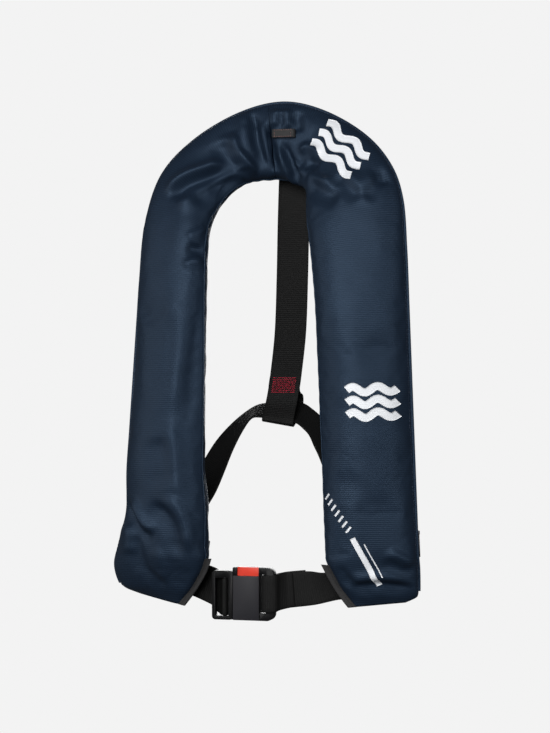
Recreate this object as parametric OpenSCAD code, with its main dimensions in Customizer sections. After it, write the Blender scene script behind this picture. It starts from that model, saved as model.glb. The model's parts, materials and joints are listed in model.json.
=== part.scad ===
// Inflatable life jacket: a horseshoe cover that opens along its outer zip, with the bladder,
// the gas inflator and the oral tube packed inside, and a webbing harness with a push-button buckle.
// Millimetres. +Z is up, the wearer faces -Y, and +X is the wearer's left. The origin is the middle
// of the hang loop's slot, at the inside of the neck.

/* [Cover] */
// Wall of the padded cover, fabric and lining together
cover_wall = 1.6; // [1.2:0.2:2]
// Squareness of the lobes' section, 2 is an ellipse
roundness = 2.6; // [2.2:0.1:3]
// Half of the gap between the front and back cover that the zip closes
zip_gap = 4.2; // [4:0.1:4.4]
// Half of the sewn gap between the front and back cover at the inner edge
seam_gap = 0.15; // [0.1:0.05:0.3]
// Points across each cover panel
panel_points = 13; // [10:1:15]

/* [Webbing] */
// Width of the harness webbing
web_w = 40; // [38:1:40]
// Thickness of the harness webbing
web_t = 1.6; // [1.2:0.1:1.8]
// Width of the binding along the lobes' lower inner edges
binding_w = 9; // [8:0.5:11]
// Width of the belt guide loops
guide_w = 22; // [18:1:24]

/* [Hang loop] */
// Length of the hang loop over its sewn feet
loop_w = 29; // [27:1:31]
// Height of the hang loop's tape
loop_h = 10; // [8:1:12]
// Depth of the slot behind the tape
slot_depth = 4.8; // [4.4:0.1:4.8]

/* [Buckle] */
// Height of the buckle
buckle_h = 57; // [56:0.5:58]
// Thickness of the buckle housing
buckle_t = 13; // [12.8:0.1:13.2]
// Travel of the release button
button_travel = 3; // [2:0.5:3]
// Radius of the latch pin
latch_pin_r = 1.5; // [1.2:0.1:1.6]

/* [Inflator] */
// Radius of the gas cylinder
gas_r = 17.5; // [16:0.5:17.5]
// Overall length of the gas cylinder
gas_l = 142; // [130:1:145]
// Radius of the gas cylinder's threaded neck
neck_r = 6.5; // [6.3:0.1:6.6]
// Radius of the automatic head's cap
cap_r = 13; // [12.8:0.1:13.1]

/* [Bladder and tube] */
// Clearance between the folded bladder and the cover
bladder_gap = 1.2; // [1:0.1:1.6]
// Radius of the oral inflation tube
tube_r = 6.25; // [6:0.05:6.4]
// Length of the oral tube above its bend
tube_l = 90; // [80:1:92]

/* [Hidden] */
$fn = 48;
small = 0.01;

// Cover stations: outer edge, inner edge, thickness. They run from the foot of the right lobe,
// up over the neck and down to the foot of the left lobe.
RIGHT_RUN_LOW = [[-169, -27, -374], [-77, -54, -374], 54];
RIGHT_RUN_HIGH = [[-156.5, -20, -163], [-77, -48, -163], 44];
RIGHT_RUN_STEPS = 5;
LEFT_RUN_HIGH = [[143, -24, -198], [49, -51, -198], 46];
LEFT_RUN_LOW = [[153, -24, -455], [60, -51, -455], 46];
LEFT_RUN_STEPS = 6;
function run(a, b, steps) = [for (i = [0:steps]) a + (b - a) * i / steps];
STATIONS = concat(
    [
        [[-169, -18, -508], [-107, -44, -518], 8],
        [[-181, -16, -500], [-89, -50, -497], 30],
        [[-188, -14, -478], [-75, -54, -471], 46],
        [[-181, -16, -452], [-74, -56, -450], 54],
        [[-171, -22, -420], [-74, -55, -416], 56]
    ],
    run(RIGHT_RUN_LOW, RIGHT_RUN_HIGH, RIGHT_RUN_STEPS),
    [
        [[-152.5, -14, -103], [-77.5, -38, -112], 44],
        [[-138, -4, -48], [-70.5, -20, -84], 44],
        [[-104, 8, -8], [-54, -4, -63], 42],
        [[-55, 18, 22], [-35, 12, -53], 40],
        [[-5, 22, 33], [-2, 20, -52], 36],
        [[43, 21, 21], [18, 18, -59], 40],
        [[90, 8, -8], [25, 2, -66], 44],
        [[120, -4, -42], [30, -16, -80], 46],
        [[135, -14, -80], [34, -30, -101], 46],
        [[140, -20, -134], [42, -42, -140], 46]
    ],
    run(LEFT_RUN_HIGH, LEFT_RUN_LOW, LEFT_RUN_STEPS),
    [
        [[154, -22, -475], [62, -53, -468], 40],
        [[154, -20, -498], [77, -48, -497], 30],
        [[154, -20, -510], [91, -46, -515], 8]
    ]
);
LAST = len(STATIONS) - 1;
COLLAR_SEAM = 14.67;
COLLAR_CUT = 0.01;
RIGHT_SIDE = [0, COLLAR_SEAM - COLLAR_CUT];
LEFT_SIDE = [COLLAR_SEAM + COLLAR_CUT, LAST];
FRONT = 1;
BACK = -1;
ZIP_START = 2.7;
ZIP_END = 27.3;

// Smooth curve through four neighbouring values, at t between the middle two
function curve4(a, b, c, d, t) = (
    2 * b + (c - a) * t + (2 * a - 5 * b + 4 * c - d) * t * t + (3 * b - a - 3 * c + d) * t * t * t
) / 2;
function on_list(list, s) = let (
    last = len(list) - 1,
    i = max(0, min(floor(s), last - 1))
) curve4(list[max(i - 1, 0)], list[i], list[i + 1], list[min(i + 2, last)], s - i);
function unit(v) = v / norm(v);
function reversed(list) = [for (i = [len(list) - 1:-1:0]) list[i]];

// The lobe's own frame at station s: out points to the outer edge, ahead to the wearer's front
function station(s) = on_list(STATIONS, s);
function middle(s) = let (at = station(s)) (at[0] + at[1]) / 2;
function along(s) = unit(middle(min(s + 0.05, LAST)) - middle(max(s - 0.05, 0)));
function out(s) = let (at = station(s)) unit(at[0] - at[1]);
function ahead(s) = unit(cross(along(s), out(s)));
function half_w(s) = let (at = station(s)) norm(at[0] - at[1]) / 2;
function half_t(s) = station(s)[2] / 2;
function place(s, p, q) = middle(s) + p * out(s) + q * ahead(s);
function bulge(x) = sign(x) * pow(abs(x), 2 / roundness);

// Angle at which the section stands a given gap off its middle plane
function edge_angle(gap, half) = asin(pow(min(gap / half, 0.9), roundness / 2));
function zip_opening(s) = lookup(s, [
    [ZIP_START - 1, seam_gap],
    [ZIP_START - 0.1, zip_gap],
    [ZIP_END + 0.1, zip_gap],
    [ZIP_END + 1, seam_gap]
]);
function panel_arc(s, inset, side) = let (
    a = half_w(s) - inset,
    b = max(half_t(s) - inset, 3 * seam_gap),
    from = edge_angle(zip_opening(s), b),
    to = 180 - edge_angle(seam_gap, b)
) [
    for (j = [0:panel_points])
        let (angle = from + (to - from) * j / panel_points)
            place(s, a * bulge(cos(angle)), side * b * bulge(sin(angle)))
];
// The wall thickens to a closed end over the last part of each lobe
function wall_at(s) = let (to_end = min(s, LAST - s)) max(cover_wall, half_t(s) * (1 - to_end / 0.3));

function ring_walls(rings, m) = [
    for (i = [0:rings - 2], j = [0:m - 1])
        [i * m + j, (i + 1) * m + j, (i + 1) * m + (j + 1) % m, i * m + (j + 1) % m]
];
// Solid through closed rings of points, with flat ends
module loft(rings) {
    m = len(rings[0]);
    top = (len(rings) - 1) * m;
    polyhedron(
        points = [for (ring = rings, p = ring) p],
        faces = concat(
            ring_walls(len(rings), m),
            [[for (j = [0:m - 1]) j]],
            [[for (j = [m - 1:-1:0]) top + j]]
        ),
        convexity = 6
    );
}
// Solid through open walls: each ring runs out along one face and back along the other
module loft_wall(rings) {
    m = len(rings[0]);
    top = (len(rings) - 1) * m;
    polyhedron(
        points = [for (ring = rings, p = ring) p],
        faces = concat(
            ring_walls(len(rings), m),
            [for (j = [0:m / 2 - 2]) [j, j + 1, m - 2 - j, m - 1 - j]],
            [for (j = [0:m / 2 - 2]) [top + m - 1 - j, top + m - 2 - j, top + j + 1, top + j]]
        ),
        convexity = 6
    );
}
module cover_panel(span, side) {
    steps = ceil((span[1] - span[0]) * 2);
    loft_wall([
        for (i = [0:steps])
            let (
                s = span[0] + (span[1] - span[0]) * i / steps,
                face = concat(panel_arc(s, 0, side), reversed(panel_arc(s, wall_at(s), side)))
            )
                side == FRONT ? face : reversed(face)
    ]);
}

// Flat webbing through a list of [edge, edge] pairs
function finer(list, k) = [for (i = [0:(len(list) - 1) * k]) on_list(list, i / k)];
module webbing(pairs, k = 3, t = web_t) {
    fine = finer(pairs, k);
    last = len(fine) - 1;
    loft([
        for (i = [0:last])
            let (
                a = fine[i][0],
                b = fine[i][1],
                next = fine[min(i + 1, last)],
                prev = fine[max(i - 1, 0)],
                ahead = next[0] + next[1] - prev[0] - prev[1],
                n = unit(cross(ahead, b - a)) * t / 2
            )
                [a - n, b - n, b + n, a + n]
    ]);
}
// Round wire wound as a helix up the Z axis
module coil_spring(r, wire, length, turns, sides = 6, steps = 12) {
    count = turns * steps;
    loft([
        for (i = [0:count])
            let (
                turn = 360 * i / steps,
                spoke = [cos(turn), sin(turn), 0],
                centre = r * spoke + [0, 0, wire + (length - 2 * wire) * i / count]
            )
                [for (k = [0:sides - 1])
                    centre + wire * (cos(360 * k / sides) * spoke - [0, 0, sin(360 * k / sides)])]
    ]);
}
module rod(r, from, to) {
    translate([0, 0, from]) cylinder(r = r, h = to - from);
}
module slab(from, to) {
    translate(from) cube(to - from);
}
// Plate in the XZ plane with rounded corners, from y0 to y1
module plate(x0, x1, z0, z1, y0, y1, r) {
    translate([0, y1, 0]) rotate([90, 0, 0]) linear_extrude(y1 - y0)
        translate([x0 + r, z0 + r]) offset(r) square([x1 - x0 - 2 * r, z1 - z0 - 2 * r]);
}

// ---- Cover ----
NAVY = [0.08, 0.12, 0.2];
BLACK = [0.05, 0.05, 0.05];
module cover_front_right() {
    color(NAVY) cover_panel(RIGHT_SIDE, FRONT);
}
module cover_front_left() {
    color(NAVY) cover_panel(LEFT_SIDE, FRONT);
}
module cover_back_right() {
    color(NAVY) cover_panel(RIGHT_SIDE, BACK);
}
module cover_back_left() {
    color(NAVY) cover_panel(LEFT_SIDE, BACK);
}

// The zip lies in the gap along the outer edge: tape, then coil, both measured in from the edge
tape_in = 3.2;
tape_out = 1.8;
coil_half = 1.6;
coil_top = 0.1;
module edge_strip(in, top, half) {
    steps = (ZIP_END - ZIP_START) * 2;
    loft([
        for (i = [0:steps])
            let (s = ZIP_START + i / 2, a = half_w(s))
                [
                    place(s, a - in, -half),
                    place(s, a - top, -half),
                    place(s, a - top, half),
                    place(s, a - in, half)
                ]
    ]);
}
module zip_tape() {
    color(NAVY) edge_strip(tape_in, tape_out, zip_gap - 0.3);
}
module zip_coil() {
    color(BLACK) edge_strip(tape_out, coil_top, coil_half);
}
// The slider runs along the left lobe's straight outer edge. Its frame has x outward and z up the edge.
edge_turn = atan2(27, 94);
edge_lean = -atan2(10, 257);
slider_z = -440;
slider_l = 13;
slider_half = 3.8;
module at_slider() {
    low = LEFT_RUN_LOW[0];
    high = LEFT_RUN_HIGH[0];
    part = (slider_z - low[2]) / (high[2] - low[2]);
    translate(low + (high - low) * part) rotate([0, edge_lean, 0]) rotate([0, 0, edge_turn]) children();
}
pull_pivot_x = 2.8;
pull_pivot_z = 4;
pull_pivot_r = 0.5;
module zip_slider() {
    color("dimgray") at_slider() {
        slab([0.4, -slider_half, -slider_l / 2], [1.6, slider_half, slider_l / 2]);
        for (side = [-1, 1]) {
            slab([-1.3, side * 2.9 - 0.9, -slider_l / 2], [0.6, side * 2.9 + 0.9, slider_l / 2]);
            slab(
                [1.4, side * 2 - 0.5, pull_pivot_z - 2],
                [pull_pivot_x + 0.9, side * 2 + 0.5, pull_pivot_z + 2]
            );
        }
        translate([pull_pivot_x, 2.5, pull_pivot_z]) rotate([90, 0, 0]) cylinder(r = pull_pivot_r, h = 5);
    }
}
module zip_pull() {
    color("dimgray") at_slider() difference() {
        union() {
            slab([pull_pivot_x - 0.5, -1.2, pull_pivot_z - 26], [pull_pivot_x + 0.5, 1.2, pull_pivot_z]);
            slab([pull_pivot_x - 0.5, -2.8, pull_pivot_z - 26], [pull_pivot_x + 0.5, 2.8, pull_pivot_z - 8]);
            translate([pull_pivot_x, 1.2, pull_pivot_z]) rotate([90, 0, 0]) cylinder(r = 1, h = 2.4);
        }
        translate([pull_pivot_x, 3, pull_pivot_z]) rotate([90, 0, 0])
            cylinder(r = pull_pivot_r + 0.1, h = 6);
    }
}

// Black tape bound over the slanted lower inner edge of each lobe
module binding(stops) {
    webbing([
        for (s = stops)
            let (inner = station(s)[1], inward = -out(s))
                [inner + 0.6 * inward, inner + (0.6 + binding_w) * inward]
    ], 2, 2.4);
}
module edge_binding_right() {
    color(BLACK) binding([2.2, 1.6, 1, 0.5, 0]);
}
module edge_binding_left() {
    color(BLACK) binding([28.1, 28.6, 29, 29.5, 30]);
}

// ---- Harness ----
loop_t = 1.6;
foot_w = 3;
module hang_loop() {
    half = loop_w / 2;
    front_y = -slot_depth / 2 - loop_t;
    color(BLACK) {
        plate(-half, half, -loop_h / 2, loop_h / 2, front_y, front_y + loop_t, 1);
        for (x = [-half, half - foot_w])
            slab([x, front_y + loop_t - small, -loop_h / 2 + 1], [x + foot_w, 2.3, loop_h / 2 - 1]);
    }
}

strap_half = web_w / 2 - 1.8;
// Centre line of the back strap from the collar to the fold of its lower loop, then back up. The
// fourth value is how far its right edge stands above the centre line.
STRAP_PATH = [
    [2.4, 42.6, -5, 0], [2.3, 41.8, -25, 0], [2.2, 39.8, -42, 0], [2, 37.8, -61, 0], [1.2, 36.6, -100, 0],
    [-0.4, 38, -160, 0], [-3.4, 41, -220, 0], [-9.4, 44, -268, 0], [-12.2, 44.4, -286, 0],
    [-14, 41, -300, 0.5], [-15, 33, -313.5, 1.5], [-15.4, 30.8, -318.5, 2.6], [-15.4, 32.8, -322.4, 3],
    [-14.8, 50, -314.4, 2.6], [-14.2, 68, -302.6, 1.6], [-14, 71, -297, 0.4], [-13.6, 68, -291.5, 0],
    [-13.2, 60, -289.5, 0], [-12.8, 51.5, -287, 0], [-12.2, 47, -281, 0], [-10.4, 46.2, -270, 0]
];
module back_strap() {
    color(BLACK) webbing([
        for (p = STRAP_PATH)
            [[p[0] - strap_half, p[1], p[2] + p[3]], [p[0] + strap_half, p[1], p[2] - p[3]]]
    ], 3);
}
STITCH_ROWS = 8;
module back_strap_stitching() {
    color("crimson") for (i = [0:STITCH_ROWS - 1])
        translate([-10.6 - i * 0.3, 43 + i * 0.01, -271.4 - i * 2.3]) cube([27, 0.5, 0.9], center = true);
}

BACK_BELT = [
    [[-143, 0, -476], [-105, -8, -484]],
    [[-137, 4, -445], [-100, -10, -450]],
    [[-124, 16, -414], [-90, -4, -420]],
    [[-112, 26, -386], [-79, 4, -397]],
    [[-100, 34, -361], [-70, 9, -374]],
    [[-86, 42, -338], [-62, 13, -352]],
    [[-68, 54, -317], [-54, 22, -331]],
    [[-49, 62, -303], [-46, 30, -317]],
    [[-33, 65.5, -300], [-36, 34, -315.6]],
    [[-14, 66, -299], [-14, 34.4, -318.4]],
    [[4, 65.5, -300], [4, 34, -321.6]],
    [[16, 62, -306], [14, 31, -328]],
    [[29, 57, -316], [22, 26, -335]],
    [[44, 48, -333], [29.5, 17, -346]],
    [[60, 36, -358], [39, 7, -361]],
    [[76, 24, -392], [54, -4, -396]],
    [[92, 12, -428], [67, -14, -441]],
    [[112, -5, -455], [77, -17, -467]],
    [[124, -6, -478], [86, -16, -486]]
];
module waist_belt_back() {
    color(BLACK) webbing(BACK_BELT, 2);
}
module waist_belt_right() {
    color(BLACK) webbing([
        [[-110, -12, -472], [-120, -14, -510]],
        [[-92, -21, -473], [-108, -24, -510]],
        [[-75, -33, -476], [-97, -33, -509]],
        [[-65, -40.8, -478], [-74, -39.8, -516.5]],
        [[-59, -43.6, -481.5], [-65, -42.4, -521]],
        [[-54.5, -47.4, -486.5], [-55, -47, -526.5]],
        [[-52, -49.2, -487.3], [-52, -49.2, -527.3]],
        [[-50, -50, -487.3], [-50, -50, -527.3]],
        [[-49.2, -52, -487.3], [-49.2, -52, -527.3]],
        [[-50, -54, -487.3], [-50, -54, -527.3]],
        [[-52, -54.8, -487.3], [-52, -54.8, -527.3]],
        [[-54, -54, -487.3], [-54, -54, -527.3]],
        [[-55.2, -51.6, -487.3], [-55.2, -51.6, -527.3]],
        [[-57.6, -48.8, -487], [-57.6, -48.8, -527]],
        [[-61, -46.3, -485], [-61.6, -46.3, -525]],
        [[-67, -44.4, -481.5], [-69, -44.6, -521.5]]
    ], 2);
}
// The adjustable side: over the housing's bar, back through its slot and along behind itself
module waist_belt_left() {
    color(BLACK) webbing([
        [[100, -15.8, -474], [108, -16, -513]],
        [[82, -21, -475], [95, -22, -512]],
        [[66, -31, -477], [83, -29, -511]],
        [[54, -38, -480], [71, -34, -509]],
        [[39.5, -41, -478.6], [46, -41, -514.5]],
        [[14, -43.4, -479.5], [17, -44, -518.5]],
        [[8.4, -50.4, -481], [9, -50.6, -520.4]],
        [[5.6, -57, -482], [5.8, -57.2, -521.8]],
        [[0.5, -59.2, -482.4], [0.5, -59.2, -522.4]],
        [[-5, -59.2, -482.6], [-5, -59.2, -522.6]],
        [[-8.9, -57.2, -482.7], [-8.9, -57.2, -522.7]],
        [[-9.4, -52, -482.8], [-9.4, -52, -522.8]],
        [[-8.8, -46.8, -482.8], [-8.8, -46.8, -522.8]],
        [[-5, -44.9, -482.7], [-5, -44.9, -522.7]],
        [[1, -44.6, -482.4], [1, -44.6, -522.4]],
        [[7, -42.8, -481], [7, -42.8, -520]],
        [[16, -40.4, -479.4], [17, -40.8, -517.4]],
        [[34, -38.6, -477.6], [36, -38.8, -514.4]]
    ], 2);
}

// Sewn loops on the lobes' backs that hold the belt
GUIDE_RISE = 13;
module belt_guide(s0, s1) {
    from = -142;
    to = -38;
    steps = 10;
    webbing([
        for (i = [0:steps])
            let (
                angle = from + (to - from) * i / steps,
                off = 1.5 + GUIDE_RISE * pow(sin(180 * i / steps), 0.8)
            )
                [guide_point(s0, angle, off), guide_point(s1, angle, off)]
    ], 1);
}
function guide_point(s, angle, off) = place(
    s, (half_w(s) + off / 3) * bulge(cos(angle)), (half_t(s) + off) * bulge(sin(angle))
);
guide_span = guide_w / 44;
module belt_guide_right() {
    color(BLACK) belt_guide(2.5 - guide_span, 2.5 + guide_span);
}
module belt_guide_left() {
    color(BLACK) belt_guide(27.5 - guide_span, 27.5 + guide_span);
}

// ---- Buckle: its frame has x along the belt, -y to the front ----
BUCKLE = [-31, -52, -503.25];
parting_x = -11;
buckle_left = -34.75;
buckle_right = 34.75;
half_h = buckle_h / 2;
half_bt = buckle_t / 2;
front_y = -half_bt;
cover_t = 1.6;
cover_right = 18.6;
button_l = -5.8;
button_r = 18;
button_low = 19.6;
button_front = -4.7;
latch_x = 14;
latch_z = -10;
spring_x = 13;
spring_r = 2.1;
spring_seat = 8;
module at_buckle() {
    translate(BUCKLE) children();
}
module buckle_housing() {
    color(BLACK) at_buckle() difference() {
        union() {
            plate(parting_x + 0.2, cover_right + 0.4, -half_h, half_h, front_y, half_bt, 1);
            plate(parting_x + 4, buckle_right, -half_h, half_h, front_y + 1.5, half_bt - 0.8, 8);
        }
        // Slot for the webbing
        plate(18.9, 25.7, -20.6, 21.2, front_y - 1, half_bt + 1, 1);
        // Cavity for the blade and the latch, open towards the tongue
        slab([parting_x - 1, -4.8, -19.6], [17.4, 4.2, button_low - button_travel - 0.4]);
        // Pocket of the release button
        slab(
            [button_l - 0.4, front_y - 1, button_low - button_travel - 0.5],
            [button_r + 0.3, 1.2, half_h + 1]
        );
        // Seat of the cover plate
        slab([parting_x - 1, front_y - 1, -half_h - 1], [cover_right, front_y + cover_t + 0.1, button_low]);
        translate([latch_x, 0, latch_z]) rotate([-90, 0, 0]) cylinder(r = latch_pin_r, h = half_bt + 1);
    }
    // Ledge under the button's spring
    color(BLACK) at_buckle() slab(
        [spring_x - 3, -4.4, spring_seat - 1.5], [spring_x + 4.6, -0.8, spring_seat]
    );
}
module buckle_cover() {
    color([0.2, 0.2, 0.22]) at_buckle() difference() {
        plate(parting_x + 0.4, cover_right - 0.2, -half_h + 0.2, button_low - 0.2,
            front_y, front_y + cover_t - 0.1, 0.8);
        translate([6.1, front_y - 1, button_low + 0.4]) rotate([0, 45, 0])
            cube([1.6, 4, 1.6], center = true);
    }
}
module release_button() {
    foot_z = latch_z + 4.2;
    color("red") at_buckle() {
        plate(button_l, button_r, button_low - 0.2, half_h + 0.3, button_front, -0.9, 1.2);
        slab([-3.4, -4.2, button_low - 2], [17, -1.2, button_low + 2]);
        slab([3, -4.2, foot_z], [8, -1.2, button_low]);
    }
}
module button_spring() {
    color("silver") at_buckle() translate([spring_x, -2.7, spring_seat + 0.1])
        coil_spring(1.2, 0.25, button_low - 2.2 - spring_seat, 5);
}
module latch_lever() {
    color("dimgray") at_buckle() difference() {
        union() {
            translate([latch_x, -1.2, latch_z]) rotate([90, 0, 0]) cylinder(r = 3, h = 3);
            slab([-2, -4.2, latch_z - 1.6], [latch_x, -1.2, latch_z + 1.6]);
            slab([3, -4.2, latch_z], [8, -1.2, latch_z + 3.6]);
            slab([-1, -1.2 - small, latch_z - 1.6], [2.5, 1.3, latch_z + 1.6]);
        }
        translate([latch_x, 0, latch_z]) rotate([90, 0, 0]) cylinder(r = latch_pin_r + 0.06, h = 6);
    }
}
module latch_pin() {
    color("silver") at_buckle() translate([latch_x, -4.7, latch_z]) rotate([-90, 0, 0])
        cylinder(r = latch_pin_r, h = 4.7 + half_bt - 0.4);
}
module buckle_tongue() {
    color(BLACK) at_buckle() difference() {
        union() {
            plate(buckle_left, parting_x - 0.1, -half_h, half_h - 4.2, front_y + 2.3, half_bt - 2.3, 4);
            slab([-18, front_y + 0.2, -half_h + 0.6], [parting_x - 0.1, half_bt - 0.4, half_h - 4.6]);
            slab([parting_x - 3, -0.3, -18.4], [11, 3.7, 16]);
        }
        // Webbing slot
        plate(-31.2, -15.6, -24.6, 16.5, front_y - 1, half_bt + 1, 1.5);
        // Groove that the latch tooth drops into, open at the blade's tip
        slab([-4, -1, latch_z - 7.2], [12, 1.7, latch_z + 2]);
        translate([-21, 0, -27]) cylinder(r = bar_r, h = 46);
    }
}
bar_r = 1.5;
module adjuster_bar() {
    color("silver") at_buckle() translate([-21, 0, -26.9]) cylinder(r = bar_r, h = 45.8);
}

// ---- Inflator: its frame has x towards the lobe's inner edge, -y to the front ----
PACK_RIGHT = [-122, -39, 0];
pack_turn_right = -16;
axis_x = -5;
axis_y = -3;
head_low = -464;
head_high = -424;
head_front = -19.5;
head_back = 13.5;
neck_low = -438;
stem_x = 13;
stem_r = 4.5;
lever_x = -13.5;
lever_z = -452;
lever_pin_r = 1.25;
chamber_r = 5.4;
pin_travel = 6.7;
collar_low = -453.8;
collar_r = 4.4;
toe = 5.2;
toe_r = 1.1;
module in_right() {
    translate(PACK_RIGHT) rotate([0, 0, pack_turn_right]) children();
}
module on_axis() {
    in_right() translate([axis_x, axis_y, 0]) children();
}
module inflator_body() {
    color("dimgray") in_right() difference() {
        union() {
            plate(-22, 22, head_low, head_high, head_front, head_back, 4);
            translate([axis_x, axis_y, 0]) rod(cap_r - 3, head_low - 9, head_low + 1);
        }
        translate([axis_x, axis_y, 0]) {
            rod(neck_r + 0.08, neck_low - 0.3, head_high + 1);
            rod(2.3, head_low, head_high);
            rod(chamber_r, head_low - 10, collar_low + pin_travel + 2.4);
        }
        // Cross bore for the manifold stem, and the slot that the lever swings in
        translate([stem_x, 30, -444]) rotate([90, 0, 0]) cylinder(r = stem_r + 0.06, h = 60);
        slab([-24, axis_y - 2, head_low - 1], [axis_x, axis_y + 2, -440]);
        slab([-24, axis_y - 2, -441], [-14.5, axis_y + 2, head_high + 1]);
        translate([lever_x, axis_y + 9, lever_z]) rotate([90, 0, 0]) cylinder(r = lever_pin_r, h = 18);
    }
}
module gas_cylinder() {
    shoulder = head_high + 3;
    body_low = shoulder + 16;
    top = neck_low + gas_l;
    color([0.75, 0.76, 0.78]) on_axis() rotate_extrude() polygon(concat(
        [[0, neck_low + 12], [2.8, neck_low + 12], [2.8, neck_low], [neck_r, neck_low], [neck_r, shoulder]],
        [for (a = [0:15:90])
            [neck_r + (gas_r - neck_r) * sin(a), body_low - (body_low - shoulder) * cos(a)]],
        [for (a = [0:15:90]) [gas_r * cos(a), top - 14 + 14 * sin(a)]]
    ));
}
module neck_seal() {
    color(BLACK) on_axis() difference() {
        rod(neck_r + 3, head_high + 0.1, head_high + 1.7);
        rod(neck_r + 0.1, head_high - 1, head_high + 3);
    }
}
module pull_lever() {
    eye = 30;
    tilt = 20;
    color("red") in_right() translate([lever_x, axis_y, lever_z]) difference() {
        union() {
            translate([0, 1.5, 0]) rotate([90, 0, 0]) cylinder(r = 3, h = 3);
            rotate([0, -tilt, 0]) slab([-2, -1.5, 0], [2, 1.5, eye]);
            translate([0, 1.5, 0]) rotate([90, 0, 0]) translate([-eye * sin(tilt), eye * cos(tilt), 0])
                cylinder(r = 4, h = 3);
            rotate([0, 40, 0]) {
                slab([0, -1.5, -0.7], [toe, 1.5, 0.7]);
                translate([toe, 1.5, 0]) rotate([90, 0, 0]) cylinder(r = toe_r, h = 3);
            }
        }
        translate([0, 3, 0]) rotate([90, 0, 0]) cylinder(r = lever_pin_r + 0.06, h = 6);
        translate([0, 3, 0]) rotate([90, 0, 0]) translate([-eye * sin(tilt), eye * cos(tilt), 0])
            cylinder(r = 2, h = 6);
    }
}
module lever_pin() {
    color("silver") in_right() translate([lever_x, axis_y + 8.9, lever_z]) rotate([90, 0, 0])
        cylinder(r = lever_pin_r, h = 17.8);
}
module piercing_pin() {
    color("silver") on_axis() {
        rod(2, -460, neck_low - 3.5);
        rod(collar_r, collar_low, collar_low + 2);
        rod(5, -461.5, -460);
        translate([0, 0, neck_low - 3.5]) cylinder(r1 = 2, r2 = 0.3, h = 3);
    }
}
cartridge_top = -475.5;
module piercing_spring() {
    color("silver") on_axis() translate([0, 0, cartridge_top + 0.2])
        coil_spring(4, 0.5, -461.9 - cartridge_top, 4);
}
module cartridge() {
    color("gold") on_axis() difference() {
        rod(9, cartridge_top - 6.2, cartridge_top);
        rod(2.5, cartridge_top - 8, cartridge_top + 1);
    }
}
module auto_cap() {
    color([0.85, 0.75, 0.1]) on_axis() difference() {
        rod(cap_r, -484, head_low - 0.5);
        rod(cap_r - 2.94, -481.9, head_low);
        for (a = [0:30:330]) rotate([0, 0, a]) translate([cap_r + 0.6, 0, -485]) cylinder(r = 1.2, h = 16);
    }
}
module manifold() {
    color(BLACK) in_right() translate([stem_x, 0, -444]) rotate([90, 0, 0]) {
        translate([0, 0, -head_back - 4]) cylinder(r = 20, h = 3.7);
        translate([0, 0, -head_back - 1]) cylinder(r = stem_r, h = head_back - head_front + 5);
    }
}
module manifold_nut() {
    color("gold") in_right() translate([stem_x, head_front - 0.2, -444]) rotate([90, 0, 0]) difference() {
        cylinder(r = 8, h = 4.6, $fn = 6);
        translate([0, 0, -1]) cylinder(r = stem_r + 0.06, h = 4.9);
    }
}

// ---- Bladder: folded flat behind the inflator and behind the oral tube ----
BLADDER_START = 1.9;
BLADDER_END = 28;
BLADDER_SIDES = 16;
function bladder_front(s) = lookup(s, [
    [7.4, -17.8], [8.8, 12], [18.4, 12], [19.6, -1]
]);
// The section is the cover's, cut flat where the folded bladder ends towards the front
module bladder() {
    steps = 52;
    color("yellow") loft([
        for (i = [0:steps])
            let (
                s = BLADDER_START + (BLADDER_END - BLADDER_START) * i / steps,
                b = half_t(s) - cover_wall - bladder_gap,
                a = (half_w(s) - cover_wall - 2) * 0.95,
                cut = sign(bladder_front(s)) * edge_angle(abs(bladder_front(s)), b)
            )
                [for (k = [0:BLADDER_SIDES - 1])
                    let (angle = -180 - cut + (180 + 2 * cut) * k / (BLADDER_SIDES - 1))
                        place(s, a * bulge(cos(angle)), b * bulge(sin(angle)))]
    ]);
}

// ---- Oral tube: its frame has x outward, -y to the front, and z up the lobe from its own zero ----
PACK_LEFT = [96.5, -37.5, -198];
tube_y = -11;
tube_low = -100;
bend_r = 9.5;
tube_wall = 1.6;
tube_top = tube_low + tube_l;
module in_left() {
    translate(PACK_LEFT) rotate([0, edge_lean, 0]) rotate([0, 0, edge_turn]) children();
}
module on_tube() {
    in_left() translate([0, tube_y, 0]) children();
}
module oral_tube() {
    color("black") on_tube() difference() {
        union() {
            rod(tube_r, tube_low, tube_top);
            translate([0, bend_r, tube_low]) rotate([-90, 0, 0]) rotate([0, 90, 0])
                rotate_extrude(angle = 90) translate([bend_r, 0]) circle(r = tube_r);
            translate([0, bend_r - 0.9, tube_low - bend_r]) rotate([-90, 0, 0]) cylinder(r = 15, h = 3);
        }
        rod(tube_r - tube_wall, tube_low - 0.5, tube_top + 1);
    }
}
module oral_valve() {
    color("white") on_tube() {
        rod(tube_r - tube_wall - 0.15, tube_top - 8, tube_top - 2);
        rod(1.5, tube_top - 12, tube_top + 1);
    }
}
module valve_spring() {
    color("silver") on_tube() translate([0, 0, tube_top - 20]) coil_spring(3, 0.35, 11.7, 5);
}
module valve_seat() {
    color("black") on_tube() difference() {
        rod(tube_r - tube_wall, tube_top - 23, tube_top - 20.3);
        rod(2, tube_top - 24, tube_top - 20);
    }
}
module oral_cap() {
    color("red") on_tube() difference() {
        rod(tube_r + 1.8, tube_top - 9, tube_top + 6);
        rod(tube_r + 0.15, tube_top - 10, tube_top + 3.5);
    }
}
whistle_x = 17;
module whistle() {
    color("orange") on_tube() translate([whistle_x, 0, 0]) difference() {
        union() {
            rod(6, -66, -28);
            slab([-6, -4, -28.5], [6, 4, -16]);
        }
        rod(4.2, -64, -30);
        slab([-4.4, -2.4, -31], [4.4, 2.4, -15]);
        slab([-4, -7, -42], [4, -1, -36]);
    }
}
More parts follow.
